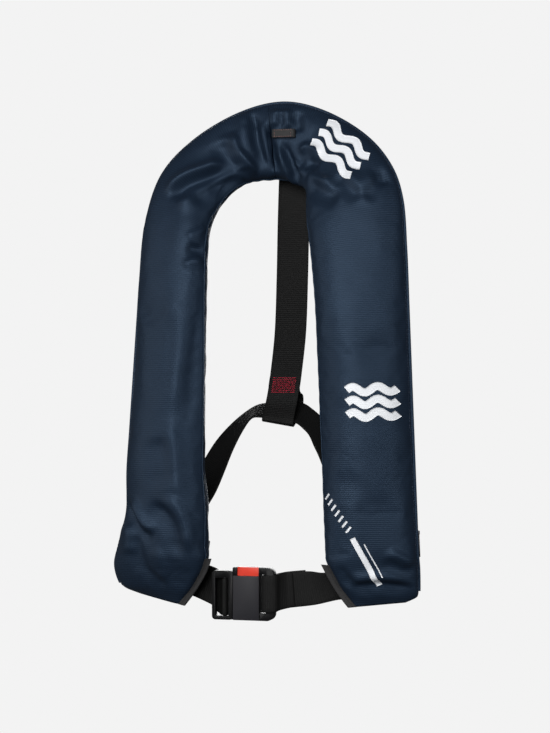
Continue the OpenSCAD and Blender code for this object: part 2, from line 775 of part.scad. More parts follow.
module whistle_band() {
    color("black") on_tube() difference() {
        hull() {
            rod(tube_r + 1.6, -54, -48);
            translate([whistle_x, 0, 0]) rod(7.6, -54, -48);
        }
        rod(tube_r + 0.1, -55, -47);
        translate([whistle_x, 0, 0]) rod(6.1, -55, -47);
    }
}
module reflective_tape() {
    color("silver") in_left() for (z = [-240, -175])
        plate(-22, 22, z, z + 48, 0.3, 0.8, 3);
}

cover_front_right();
cover_front_left();
cover_back_right();
cover_back_left();
zip_tape();
zip_coil();
zip_slider();
zip_pull();
edge_binding_right();
edge_binding_left();
hang_loop();
back_strap();
back_strap_stitching();
waist_belt_back();
waist_belt_right();
waist_belt_left();
belt_guide_right();
belt_guide_left();
buckle_housing();
buckle_cover();
release_button();
button_spring();
latch_lever();
latch_pin();
buckle_tongue();
adjuster_bar();
inflator_body();
gas_cylinder();
neck_seal();
pull_lever();
lever_pin();
piercing_pin();
piercing_spring();
cartridge();
auto_cap();
manifold();
manifold_nut();
bladder();
reflective_tape();
oral_tube();
oral_valve();
valve_spring();
valve_seat();
oral_cap();
whistle();
whistle_band();
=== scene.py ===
"""Looks of the inflatable life jacket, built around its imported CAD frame.

Lengths are in millimetres until mesh_object() turns them into metres. +Z is up, the wearer
faces -Y, and the origin is at the hang loop."""
import json
import math
import bmesh
import bpy
import numpy as np
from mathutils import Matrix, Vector
from mathutils.bvhtree import BVHTree


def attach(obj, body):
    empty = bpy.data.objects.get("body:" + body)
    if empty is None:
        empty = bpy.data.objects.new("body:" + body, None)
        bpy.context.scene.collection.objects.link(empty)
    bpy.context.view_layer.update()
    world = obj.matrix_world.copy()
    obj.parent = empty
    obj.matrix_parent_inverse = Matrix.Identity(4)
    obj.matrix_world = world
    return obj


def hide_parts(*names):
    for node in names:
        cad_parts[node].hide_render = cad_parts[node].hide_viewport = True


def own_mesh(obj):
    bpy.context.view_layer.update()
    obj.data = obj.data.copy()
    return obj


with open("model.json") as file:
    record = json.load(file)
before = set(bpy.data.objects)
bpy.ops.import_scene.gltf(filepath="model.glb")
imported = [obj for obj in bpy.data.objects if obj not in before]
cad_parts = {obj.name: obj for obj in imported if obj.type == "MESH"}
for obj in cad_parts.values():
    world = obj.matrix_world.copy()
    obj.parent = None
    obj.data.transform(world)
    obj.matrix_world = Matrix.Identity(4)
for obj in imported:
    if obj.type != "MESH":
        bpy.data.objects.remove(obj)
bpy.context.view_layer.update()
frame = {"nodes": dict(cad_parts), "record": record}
MM = 0.001


def add_object(name, data):
    obj = bpy.data.objects.new(name, data)
    bpy.context.scene.collection.objects.link(obj)
    return obj


# ---- camera
VIEW_AZIMUTH = math.radians(15)
VIEW_DISTANCE = 2.2
VIEW_TARGET = Vector((0.0003, -0.0393, -0.2587))
LENS = 100.05
SENSOR_HEIGHT = 36


def add_camera():
    data = bpy.data.cameras.new("camera")
    data.sensor_fit = "VERTICAL"
    data.sensor_height = SENSOR_HEIGHT
    data.lens = LENS
    camera = add_object("camera", data)
    towards = Vector((math.sin(VIEW_AZIMUTH), -math.cos(VIEW_AZIMUTH), 0))
    camera.location = VIEW_TARGET + towards * VIEW_DISTANCE
    camera.rotation_euler = (-towards).to_track_quat("-Z", "Y").to_euler()
    bpy.context.scene.camera = camera


add_camera()

# ---- materials
# Woven cloth: share of ribs and threads in the height, scale of the slow change of tone, bump
RIB_SHARE, THREAD_SHARE = 0.7, 0.3
TONE_SCALE = 28.0
WEAVE_BUMP = 0.6
# How much darker the uneven parts of a plastic or metal are, and how far their gloss swings
DARKER = 0.8
PLASTIC_GLOSS, METAL_GLOSS = 0.14, 0.2
materials = {}


def new_material(name, colour, roughness, **sockets):
    """Makes a Principled material. Extra sockets are set by name, with _ for a space."""
    mat = bpy.data.materials.new(name)
    mat.use_nodes = True
    tree = mat.node_tree
    shader = tree.nodes["Principled BSDF"]
    shader.inputs["Base Color"].default_value = (*colour, 1)
    shader.inputs["Roughness"].default_value = roughness
    for key, value in sockets.items():
        shader.inputs[key.replace("_", " ")].default_value = value
    materials[name] = mat
    return tree, shader


def node(tree, kind, **values):
    made = tree.nodes.new(kind)
    for key, value in values.items():
        if key in made.inputs:
            made.inputs[key].default_value = value
        else:
            setattr(made, key, value)
    return made


def math_node(tree, operation, a, b=None):
    made = tree.nodes.new("ShaderNodeMath")
    made.operation = operation
    for i, value in enumerate((a, b)):
        if value is None:
            continue
        if isinstance(value, (int, float)):
            made.inputs[i].default_value = value
        else:
            tree.links.new(value, made.inputs[i])
    return made.outputs[0]


def weighted_sum(tree, a, share_a, b, share_b):
    parts = (math_node(tree, "MULTIPLY", v, share) for v, share in ((a, share_a), (b, share_b)))
    return math_node(tree, "ADD", *parts)


def mix_colour(tree, factor, a, b):
    made = tree.nodes.new("ShaderNodeMix")
    made.data_type = "RGBA"
    tree.links.new(factor, made.inputs["Factor"])
    made.inputs["A"].default_value = (*a, 1)
    made.inputs["B"].default_value = (*b, 1)
    return made.outputs["Result"]


def weave_axes(tree):
    """Across and along lengths of a woven piece, in metres, from its weave attribute."""
    attribute = node(tree, "ShaderNodeAttribute", attribute_name="weave")
    split = tree.nodes.new("ShaderNodeSeparateXYZ")
    tree.links.new(attribute.outputs["Vector"], split.inputs[0])
    return split.outputs["X"], split.outputs["Y"]


def ripple(tree, length, period):
    """A wave from 0 to 1 along a length, both in metres."""
    wave = math_node(tree, "SINE", math_node(tree, "MULTIPLY", length, 2 * math.pi / period))
    return math_node(tree, "ADD", math_node(tree, "MULTIPLY", wave, 0.5), 0.5)


def soft_noise(tree, scale, detail=3.0, rough=0.5):
    coordinates = tree.nodes.new("ShaderNodeTexCoord")
    noise = node(tree, "ShaderNodeTexNoise", Scale=scale, Detail=detail, Roughness=rough)
    tree.links.new(coordinates.outputs["Object"], noise.inputs["Vector"])
    return noise.outputs["Fac"]


def bump_from(tree, shader, height, strength, distance):
    bump = node(tree, "ShaderNodeBump", Strength=strength, Distance=distance)
    tree.links.new(height, bump.inputs["Height"])
    tree.links.new(bump.outputs["Normal"], shader.inputs["Normal"])


def woven(name, dark, light, roughness, rib, thread, depth, tone=0.35, **sockets):
    """Woven cloth: ribs across the length, finer threads along it, and a slow change of tone."""
    tree, shader = new_material(name, light, roughness, **sockets)
    across, along = weave_axes(tree)
    ribs = ripple(tree, along, rib)
    threads = ripple(tree, across, thread)
    height = weighted_sum(tree, ribs, RIB_SHARE, threads, THREAD_SHARE)
    shade = weighted_sum(tree, ribs, 1 - tone, soft_noise(tree, TONE_SCALE), tone)
    tree.links.new(mix_colour(tree, shade, dark, light), shader.inputs["Base Color"])
    bump_from(tree, shader, height, WEAVE_BUMP, depth)


def uneven(tree, shader, colour, roughness, tone, gloss, swing):
    """Colour that follows one noise, and roughness that follows another, about their values."""
    darker = tuple(c * DARKER for c in colour)
    tree.links.new(mix_colour(tree, tone, darker, colour), shader.inputs["Base Color"])
    rough = math_node(tree, "ADD", math_node(tree, "MULTIPLY", gloss, swing), roughness - swing / 2)
    tree.links.new(rough, shader.inputs["Roughness"])


def moulded(name, colour, roughness, **sockets):
    """Moulded plastic or rubber: a fine spark-eroded grain and slightly uneven gloss."""
    tree, shader = new_material(name, colour, roughness, **sockets)
    grain = soft_noise(tree, 900.0, 2.0)
    broad = soft_noise(tree, 60.0, 3.0)
    uneven(tree, shader, colour, roughness, broad, broad, PLASTIC_GLOSS)
    bump_from(tree, shader, grain, 0.25, 0.0002)


def metal(name, colour, roughness):
    """Metal with fine scratches and a slow change of tone."""
    tree, shader = new_material(name, colour, roughness, Metallic=1.0)
    scratches = soft_noise(tree, 400.0, 4.0, 0.7)
    broad = soft_noise(tree, 40.0, 2.0)
    uneven(tree, shader, colour, roughness, broad, scratches, METAL_GLOSS)
    bump_from(tree, shader, scratches, 0.1, 0.0001)


# Name, dark and light colour, roughness, rib and thread spacing and bump depth in metres
woven("cover_nylon", (0.0028, 0.0058, 0.013), (0.0105, 0.02, 0.037), 0.52, 0.0021, 0.0009, 0.00022,
      tone=0.4, Specular_Tint=(0.41, 0.6, 0.87, 1), Specular_IOR_Level=0.46,
      Sheen_Weight=0.01, Sheen_Roughness=0.4, Sheen_Tint=(0.35, 0.5, 0.75, 1))
woven("zip_fabric", (0.006, 0.01, 0.025), (0.015, 0.022, 0.045), 0.7, 0.0012, 0.0009, 0.0001)
woven("binding_tape", (0.006, 0.006, 0.007), (0.017, 0.016, 0.016), 0.72, 0.0011, 0.0011, 0.00015)
woven("webbing", (0.0012, 0.0012, 0.0012), (0.005, 0.005, 0.0048), 0.65, 0.0022, 0.0008, 0.0004,
      tone=0.25, Specular_IOR_Level=0.2)
woven("red_thread", (0.55, 0.006, 0.03), (0.95, 0.03, 0.09), 0.5, 0.0006, 0.0006, 0.0001)
woven("navy_thread", (0.004, 0.008, 0.02), (0.02, 0.035, 0.07), 0.5, 0.0006, 0.0006, 0.0001)
woven("tan_thread", (0.12, 0.06, 0.06), (0.26, 0.14, 0.13), 0.6, 0.0006, 0.0006, 0.0001)
woven("print_white", (0.72, 0.74, 0.78), (0.86, 0.88, 0.9), 0.5, 0.0019, 0.0009, 0.00008, tone=0.6)
woven("bladder_fabric", (0.55, 0.5, 0.02), (0.8, 0.72, 0.05), 0.4, 0.0012, 0.0012, 0.0001)
woven("reflective", (0.35, 0.36, 0.38), (0.6, 0.61, 0.63), 0.35, 0.003, 0.003, 0.0001)
moulded("black_plastic", (0.0035, 0.0035, 0.004), 0.42, Specular_IOR_Level=0.16)
moulded("grey_plastic", (0.014, 0.0135, 0.0175), 0.5, Specular_IOR_Level=0.3)
moulded("red_plastic", (0.8, 0.06, 0.035), 0.4, Specular_IOR_Level=0.3)
moulded("yellow_plastic", (0.85, 0.62, 0.03), 0.4)
moulded("orange_plastic", (0.9, 0.25, 0.02), 0.4)
moulded("white_plastic", (0.75, 0.75, 0.73), 0.4)
moulded("cartridge_salt", (0.8, 0.78, 0.7), 0.8)
moulded("seal_rubber", (0.015, 0.015, 0.015), 0.6)
moulded("zip_plastic", (0.01, 0.011, 0.014), 0.45)
metal("steel", (0.6, 0.6, 0.62), 0.3)
metal("zip_metal", (0.08, 0.08, 0.085), 0.4)
metal("cylinder_steel", (0.62, 0.62, 0.6), 0.35)
metal("brass_nut", (0.65, 0.5, 0.22), 0.3)

# ---- mesh helpers


def mesh_object(name, points, faces, weave):
    """A smooth object from points in millimetres.

    weave holds each point's lengths across and along the cloth."""
    mesh = bpy.data.meshes.new(name)
    mesh.from_pydata([tuple(p) for p in np.asarray(points) * MM], [], [tuple(f) for f in faces])
    layer = mesh.attributes.new("weave", "FLOAT_VECTOR", "POINT")
    values = np.zeros((len(points), 3), np.float32)
    values[:, :2] = np.asarray(weave) * MM
    layer.data.foreach_set("vector", values.ravel())
    mesh.update()
    obj = add_object(name, mesh)
    mesh.shade_smooth()
    return obj


def closed_object(name, points, faces, weave):
    """A closed mesh, with its faces turned outwards."""
    obj = mesh_object(name, points, faces, weave)
    if signed_volume(obj) < 0:
        obj.data.flip_normals()
    return obj


def signed_volume(obj):
    bm = bmesh.new()
    bm.from_mesh(obj.data)
    volume = bm.calc_volume(signed=True)
    bm.free()
    return volume


def finish_piece(obj, material, body="root", replaces=()):
    """Gives a piece its material, the body it rides on and the CAD nodes it stands for.

    A piece that stands for a node has a slot with its material's name."""
    obj.data.materials.clear()
    obj.data.materials.append(materials[material])
    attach(obj, body)
    if replaces:
        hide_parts(*replaces)
    return obj


def apply_modifiers(obj):
    depsgraph = bpy.context.evaluated_depsgraph_get()
    mesh = bpy.data.meshes.new_from_object(obj.evaluated_get(depsgraph), depsgraph=depsgraph)
    old = obj.data
    obj.modifiers.clear()
    obj.data = mesh
    bpy.data.meshes.remove(old)


def coordinates(obj):
    co = np.zeros(len(obj.data.vertices) * 3)
    obj.data.vertices.foreach_get("co", co)
    return co.reshape(-1, 3) / MM


def set_coordinates(obj, co):
    obj.data.vertices.foreach_set("co", (np.asarray(co) * MM).ravel())
    obj.data.update()


def unit(v):
    v = np.asarray(v, float)
    return v / np.maximum(np.linalg.norm(v, axis=-1, keepdims=True), 1e-9)


def curve_at(points, s):
    """Catmull-Rom curve through points, at each s counted in points."""
    points = np.asarray(points, float)
    s = np.atleast_1d(np.asarray(s, float))
    last = len(points) - 1
    i = np.clip(np.floor(s).astype(int), 0, last - 1)
    t = (s - i)[(...,) + (None,) * (points.ndim - 1)]
    a, b, c, d = (points[np.clip(i + k, 0, last)] for k in (-1, 0, 1, 2))
    square, cube = 2 * a - 5 * b + 4 * c - d, 3 * b - a - 3 * c + d
    return 0.5 * (2 * b + (c - a) * t + square * t**2 + cube * t**3)


def run_lengths(points):
    """Length along the points up to each of them."""
    return np.concatenate([[0], np.cumsum(np.linalg.norm(np.diff(points, axis=0), axis=1))])


DENSE = 60


def even_steps(path, step):
    """Curve positions s that cut the path into equal lengths of about step."""
    dense = np.linspace(0, len(path) - 1, DENSE * len(path))
    length = run_lengths(curve_at(path, dense))
    count = max(2, int(round(length[-1] / step)) + 1)
    return np.interp(np.linspace(0, length[-1], count), length, dense)


def grid_faces(rows, columns, closed_rows=False):
    """Quads over rows of points; closed_rows joins each row's ends."""
    faces = []
    width = columns if closed_rows else columns - 1
    for row in range(rows - 1):
        here, after = row * columns, (row + 1) * columns
        for j in range(width):
            k = (j + 1) % columns
            faces.append((here + j, after + j, after + k, here + k))
    return faces


def tube_faces(rings, sides):
    """Quads round a tube of rings, with a face over each end."""
    end = (rings - 1) * sides
    caps = [tuple(range(sides)), tuple(end + j for j in reversed(range(sides)))]
    return grid_faces(rings, sides, True) + caps


def smoothstep(x):
    x = np.clip(x, 0, 1)
    return x * x * (3 - 2 * x)


# ---- webbing


WEBBING_WIDTH = 40
# The rolled edge of a strap: its inset as a share of the half width, and its height there
ROLL_INSET, ROLL_HEIGHT = 0.012, 0.7


def webbing(name, pairs, thickness, step, across=8, edge_round=0.7, waves=0.0, seed=1):
    """Woven strap through [edge, edge] pairs, with rolled edges, as one closed mesh."""
    pairs = np.asarray(pairs, float)
    s = even_steps(pairs.mean(axis=1), step)
    both = curve_at(pairs, s)
    a, b = both[:, 0], both[:, 1]
    centre = (a + b) / 2
    ahead = unit(np.gradient(centre, axis=0))
    side = b - a
    width = np.linalg.norm(side, axis=1)
    normal = unit(np.cross(ahead, side))
    along = run_lengths(centre)
    flat = np.linspace(-1, 1, across + 1) * (1 - 2 * edge_round / WEBBING_WIDTH)
    roll = 1 - ROLL_INSET
    ring = [(-1, 0.0), (-roll, ROLL_HEIGHT)] + [(x, 1.0) for x in flat]
    ring += [(roll, ROLL_HEIGHT), (1, 0.0), (roll, -ROLL_HEIGHT)]
    ring += [(x, -1.0) for x in flat[::-1]] + [(-roll, -ROLL_HEIGHT)]
    rng = np.random.default_rng(seed)
    wobble = sum(
        rng.uniform(0.4, 1) * np.sin(along / rng.uniform(14, 34) + rng.uniform(0, 6))
        for _ in range(3)
    )
    points, weave = [], []
    for i in range(len(s)):
        for x, n in ring:
            lift = n * thickness / 2 + waves * wobble[i] * x * x
            points.append(centre[i] + side[i] / 2 * x + normal[i] * lift)
            weave.append((x * width[i] / 2, along[i]))
    return closed_object(name, points, tube_faces(len(s), len(ring)), weave)


def strap_piece(name, pairs, thickness, step, replaces, body="root", **shape):
    """A strap of webbing that stands for a CAD node."""
    obj = webbing(name, pairs, thickness, step, **shape)
    return finish_piece(obj, "webbing", body, [replaces])


THREAD_SIDES = 5
THREAD_STEP = 0.8
THREAD_TAPER = 0.6
# A direction that no stitch runs along
ASKEW = np.array([0.31, 0.77, 0.55])


def thread(name, path_lists, radius):
    """Thin closed tubes through each list of points: sewn stitches."""
    points, faces, weave = [], [], []
    for path in path_lists:
        path = np.asarray(path, float)
        centre = curve_at(path, even_steps(path, THREAD_STEP)) if len(path) > 2 else path
        ahead = unit(np.gradient(centre, axis=0))
        n = unit(np.cross(ahead, ASKEW))
        b = np.cross(ahead, n)
        start = len(points)
        for i in range(len(centre)):
            thick = radius * (THREAD_TAPER if i in (0, len(centre) - 1) else 1.0)
            for k in range(THREAD_SIDES):
                angle = 2 * math.pi * k / THREAD_SIDES
                points.append(centre[i] + thick * (math.cos(angle) * n[i] + math.sin(angle) * b[i]))
                weave.append((radius * angle, i * THREAD_STEP))
        for face in tube_faces(len(centre), THREAD_SIDES):
            faces.append(tuple(start + v for v in reversed(face)))
    return mesh_object(name, points, faces, weave)


# ---- cover


def straight_run(first, last, steps):
    """Stations at even steps from the first to the last."""
    first, last = ([np.array(v, float) for v in end] for end in (first, last))
    return [[f + (t - f) * i / steps for f, t in zip(first, last)] for i in range(steps + 1)]


# Stations of the cover, as in the CAD: outer edge, inner edge, thickness
STATIONS = (
    [
        [[-169, -18, -508], [-107, -44, -518], 4],
        [[-181, -16, -500], [-89, -50, -497], 28],
        [[-188, -14, -478], [-75, -54, -471], 46],
        [[-181, -16, -452], [-74, -56, -450], 54],
        [[-171, -22, -420], [-74, -55, -416], 56],
    ]
    + straight_run(
        [[-169, -27, -374], [-77, -54, -374], 54], [[-156.5, -20, -163], [-77, -48, -163], 44], 5
    )
    + [
        [[-152.5, -14, -103], [-77.5, -38, -112], 44],
        [[-138, -4, -48], [-70.5, -20, -84], 44],
        [[-104, 8, -8], [-54, -4, -63], 42],
        [[-55, 18, 22], [-35, 12, -53], 40],
        [[-5, 22, 33], [-2, 20, -52], 36],
        [[43, 21, 21], [18, 18, -59], 40],
        [[90, 8, -8], [25, 2, -66], 44],
        [[120, -4, -42], [30, -16, -80], 46],
        [[135, -14, -80], [34, -30, -101], 46],
        [[140, -20, -134], [42, -42, -140], 46],
    ]
    + straight_run(
        [[143, -24, -198], [49, -51, -198], 46], [[153, -24, -455], [60, -51, -455], 46], 6
    )
    + [
        [[154, -22, -475], [62, -53, -468], 40],
        [[154, -20, -498], [77, -48, -497], 28],
        [[154, -20, -510], [91, -46, -515], 4],
    ]
)
OUTER = np.array([s[0] for s in STATIONS], float)
INNER = np.array([s[1] for s in STATIONS], float)
THICK = np.array([s[2] for s in STATIONS], float)
MIDDLE = (OUTER + INNER) / 2
LAST = len(STATIONS) - 1
# Station of the seam across the collar, and of the collar's middle, where the folds are deepest
COLLAR_SEAM = 14.67
SLACK_MIDDLE, PUCKER_MIDDLE = 14.8, 14.6
# The section is a superellipse of this power, open at the zip by half of its flat edge
ROUNDNESS = 2.6
ZIP_HALF = 3.4
THINNEST = 1.5
WIDEST_SINE = 0.9
SECTION_SAMPLES = 400
RING_STEP = 3.2
ROW_COUNT = 32
MID_ROW = ROW_COUNT + 1


def lobe_frame(s):
    """Middle, outward and forward directions, half width and half thickness at stations s."""
    outer, inner = curve_at(OUTER, s), curve_at(INNER, s)
    half_t = curve_at(THICK[:, None], s)[:, 0] / 2
    low, high = (np.clip(np.asarray(s) + shift, 0, LAST) for shift in (-0.05, 0.05))
    ahead = unit(
        curve_at(OUTER, high) + curve_at(INNER, high) - curve_at(OUTER, low) - curve_at(INNER, low)
    )
    out = unit(outer - inner)
    front = unit(np.cross(ahead, out))
    return (outer + inner) / 2, out, front, np.linalg.norm(outer - inner, axis=1) / 2, half_t


def bulge(x):
    return np.sign(x) * np.abs(x) ** (2 / ROUNDNESS)


def section_angle(sine):
    """Section angle at which the superellipse's height is this share of its half thickness."""
    return math.asin(min(WIDEST_SINE, sine) ** (ROUNDNESS / 2))


def cover_grid():
    """Rings round the cover: row 0 is the zip line, then front, inner seam and back."""
    s_rings = even_steps(MIDDLE, RING_STEP)
    middle, out, front, half_w, half_t = lobe_frame(s_rings)
    rings, across = [], []
    for i in range(len(s_rings)):
        edge = section_angle(ZIP_HALF / max(half_t[i], THINNEST))
        angle = np.linspace(edge, math.pi, SECTION_SAMPLES)
        p, q = half_w[i] * bulge(np.cos(angle)), half_t[i] * bulge(np.sin(angle))
        length = np.concatenate([[0], np.cumsum(np.hypot(np.diff(p), np.diff(q)))])
        even = np.linspace(0, length[-1], ROW_COUNT + 1)
        p, q = np.interp(even, length, p), np.interp(even, length, q)
        p = np.concatenate([[half_w[i]], p, p[-2::-1]])
        q = np.concatenate([[0], q, -q[-2::-1]])
        q[MID_ROW] = 0
        rings.append(middle[i] + np.outer(p, out[i]) + np.outer(q, front[i]))
        across.append(np.concatenate([[0], even, even[-2::-1]]))
    return s_rings, np.array(rings), np.array(across)


s_rings, rings, across = cover_grid()
RINGS, ROWS = rings.shape[:2]
run_length = run_lengths((curve_at(OUTER, s_rings) + curve_at(INNER, s_rings)) / 2)
SEAM_RING = int(np.argmin(np.abs(s_rings - COLLAR_SEAM)))


def cover_faces(rings_used, rows_used, closed=False):
    """Faces over the cover's grid, turned outwards."""
    return [face[::-1] for face in grid_faces(rings_used, rows_used, closed)]


def cover_mesh():
    weave = np.stack([across, np.repeat(run_length[:, None], ROWS, 1)], -1).reshape(-1, 2)
    return mesh_object("cover_work", rings.reshape(-1, 3), cover_faces(RINGS, ROWS, True), weave)


FILL_FRAMES = 18
FILL_LIMIT = 6.0
LEAST_SLACK = 0.02


def inflate(obj, pinned, loose):
    """Fills the closed cover as cloth: pinned vertices stay, loose ones are cut too large."""
    co = coordinates(obj)
    pin = obj.vertex_groups.new(name="pin")
    pin.add([int(i) for i in pinned], 1.0, "REPLACE")
    slack = obj.vertex_groups.new(name="slack")
    for i in np.nonzero(loose > LEAST_SLACK)[0]:
        slack.add([int(i)], float(loose[i]), "REPLACE")
    cloth = obj.modifiers.new("cloth", "CLOTH")
    settings = cloth.settings
    settings.quality = 5
    settings.mass = 0.25
    settings.tension_stiffness = settings.compression_stiffness = 20
    settings.shear_stiffness = 4
    settings.bending_stiffness = 0.08
    settings.air_damping = 2
    settings.use_pressure = True
    settings.uniform_pressure_force = 1.2
    settings.vertex_group_mass = "pin"
    settings.vertex_group_shrink = "slack"
    settings.shrink_min = -0.004
    settings.shrink_max = -0.09
    settings.effector_weights.gravity = 0
    scene = bpy.context.scene
    scene.frame_start, scene.frame_end = 1, FILL_FRAMES
    for f in range(1, FILL_FRAMES + 1):
        scene.frame_set(f)
    mesh = obj.evaluated_get(bpy.context.evaluated_depsgraph_get()).to_mesh()
    moved = np.zeros(len(mesh.vertices) * 3)
    mesh.vertices.foreach_get("co", moved)
    moved = moved.reshape(-1, 3) / MM
    obj.modifiers.clear()
    scene.frame_set(1)
    step = moved - co
    size = np.linalg.norm(step, axis=1, keepdims=True)
    set_coordinates(obj, co + step * np.minimum(1, FILL_LIMIT / np.maximum(size, 1e-6)))


cover = cover_mesh()
row_of = np.tile(np.arange(ROWS), RINGS)
ring_of = np.repeat(np.arange(RINGS), ROWS)
station_of = s_rings[ring_of]
still = (row_of <= 1) | (row_of == ROWS - 1) | (row_of == MID_ROW)
still |= (ring_of < 3) | (ring_of > RINGS - 4)
# most slack round the collar, and more of it towards the inner seam
near_collar = np.clip(1.0 - np.abs(station_of - SLACK_MIDDLE) / 3.6, 0, 1)
slack = near_collar * (0.35 + 0.65 * (1 - np.abs(row_of - MID_ROW) / MID_ROW))
inflate(cover, np.nonzero(still)[0], slack)


def grid_normals(co):
    """Outward normals of the cover's grid of points."""
    along = np.gradient(co, axis=0)
    around = np.roll(co, -1, axis=1) - np.roll(co, 1, axis=1)
    return unit(np.cross(around, along))


def soft_field(shape, cells, seed):
    """Smooth random heights from -1 to 1 over a grid, with about cells bumps each way."""
    rng = np.random.default_rng(seed)
    coarse = rng.uniform(-1, 1, (cells[0] + 3, cells[1] + 3))
    rows = curve_at(coarse[..., None], np.linspace(1, cells[0] + 1, shape[0]))[..., 0]
    return curve_at(rows.T[..., None], np.linspace(1, cells[1] + 1, shape[1]))[..., 0].T


# A ridge is steep on its left side and gentle on the other, as shares of its width
STEEP_SIDE = 0.8
GENTLE_SIDE = 2.0
FOLD_GAIN = 1.9
FOLD_DEEPEST = 8.5
# A fold fades out over this share of its length at each end
FOLD_FADE = 0.25
STEP_PEAK, STEP_POWER = 2.15, 1.7


def fold_height(points, line, width, amount, profile="ridge"):
    """Height at points (x, z) of a fold along a line. A step is high on its left side."""
    path = curve_at(line, np.linspace(0, len(line) - 1, 24 * len(line)))
    best = np.full(points.shape[0], 1e9)
    signed = np.zeros(points.shape[0])
    place = np.zeros(points.shape[0])
    length = run_lengths(path)
    for i in range(len(path) - 1):
        a, d = path[i], path[i + 1] - path[i]
        t = np.clip(((points - a) @ d) / max(d @ d, 1e-9), 0, 1)
        off = points - a - t[:, None] * d
        distance = np.hypot(off[:, 0], off[:, 1])
        closer = distance < best
        best = np.where(closer, distance, best)
        side = np.sign(d[0] * off[:, 1] - d[1] * off[:, 0])
        signed = np.where(closer, side * distance, signed)
        place = np.where(closer, (length[i] + t * (length[i + 1] - length[i])) / length[-1], place)
    ends = smoothstep(place / FOLD_FADE) * smoothstep((1 - place) / FOLD_FADE)
    u = signed / width
    if profile == "ridge":
        u = u / np.where(u > 0, STEEP_SIDE, GENTLE_SIDE)
        shape = 0.75 * np.clip(1 - np.abs(u) / 1.5, 0, 1) + 0.25 * np.exp(-u * u)
    else:
        shape = STEP_PEAK * u * np.exp(-np.abs(u) ** STEP_POWER)
    return amount * ends * shape


# Folds of the front: a line of (x, z), its width and height, and "step" where it isn't a ridge
FRONT_FOLDS = [
    # gathers left of the hang loop
    ([(-45, 22), (-33, 10), (-28, -10), (-24, -26), (-19, -42)], 5, -6),
    ([(-44, 26), (-40, 2), (-36, -18), (-27, -38)], 6, 4),
    ([(-26, 14), (-22, -8), (-18, -26), (-15, -42)], 4.5, 4),
    ([(-17, 12), (-15, -10), (-12, -30), (-10, -44)], 4, -3.5),
    ([(-57, 2), (-52, -18), (-44, -31), (-35, -40), (-40, -50)], 6, 5),
    ([(-66, -8), (-60, -26), (-50, -38), (-44, -44)], 6, -4),
    ([(-124, -73), (-104, -56), (-80, -46), (-57, -36)], 7, 5, "step"),
    ([(-97, -80), (-74, -64), (-58, -56), (-42, -48)], 5.5, -5),
    ([(-112, -82), (-88, -72), (-70, -58)], 5, 2.5),
    ([(-66, -78), (-60, -64), (-54, -54)], 4, -2.5),
    ([(-94, -128), (-84, -131), (-75, -133)], 4, -3),
    ([(-98, -150), (-88, -144), (-76, -140)], 4.5, 2.2),
    ([(-96, -120), (-84, -112), (-74, -108)], 4.5, 2),
    # puffs over and gathers under the hang loop
    ([(-9, 26), (-9, 14), (-8, 4)], 4.5, 4),
    ([(1, 26), (4, 14), (7, 2)], 4.5, 4),
    ([(-4, 20), (-2, 4)], 3, -3),
    ([(14, 22), (16, 8), (18, -2)], 5, -2.5),
    ([(-8, -10), (-1, -33), (11, -55), (28, -62)], 4, 4),
    ([(-1, -10), (8, -32), (22, -54)], 3.5, -4),
    ([(-12, -10), (-9, -28), (-6, -44)], 3, -3.5),
    ([(15, -24), (26, -17), (40, -22), (46, -32)], 4, 3.5),
    ([(27, -34), (36, -36), (45, -37)], 4, -4),
    ([(10, -30), (20, -42), (30, -50)], 4, 3),
    ([(34, -58), (55, -70), (74, -77)], 6, -4),
    ([(30, -48), (50, -58), (66, -60)], 6, 3),
    ([(68, -50), (82, -66), (98, -79)], 5, -3),
    ([(98, -79), (108, -66), (116, -52)], 5, -3),
    ([(76, -48), (94, -62), (108, -48)], 9, 2),
    ([(112, -44), (118, -54), (122, -64)], 4, -3),
    # long soft folds of the right lobe and its loose lower end
    ([(-90, -150), (-92, -205), (-97, -250), (-104, -320)], 9, 1.6),
    ([(-110, -190), (-112, -240), (-116, -300)], 10, -1),
    ([(-82, -190), (-84, -240), (-88, -300), (-96, -345)], 6, -1.6),
    ([(-110, -310), (-104, -338), (-100, -380), (-96, -410)], 9, 2.2),
    ([(-122, -330), (-116, -352), (-112, -392)], 9, -1.8),
    ([(-162, -402), (-144, -432), (-126, -442)], 6.5, 3.5, "step"),
    ([(-134, -406), (-112, -418), (-101, -438), (-98, -468)], 6.5, -4),
    ([(-120, -400), (-100, -408), (-90, -430), (-88, -462)], 7, 2.5),
    ([(-164, -428), (-160, -448), (-158, -466)], 6, 2.5),
    ([(-150, -440), (-148, -462), (-140, -484)], 6, -2.2),
    ([(-126, -452), (-118, -476), (-120, -496)], 6, 2),
    ([(-150, -478), (-132, -486), (-118, -500)], 5, -1.8),
    # lower end of the left lobe
    ([(88, -362), (105, -388), (120, -410)], 14, 0.6, "step"),
    ([(84, -494), (120, -490), (156, -496)], 4.5, -4),
    ([(84, -484), (120, -480), (150, -484)], 5, 1.8),
    ([(128, -452), (140, -460), (154, -468)], 5, 2.2),
    ([(124, -462), (138, -470), (152, -476)], 4.5, -2),
    ([(78, -470), (84, -480), (92, -488)], 4, -1.5),
]
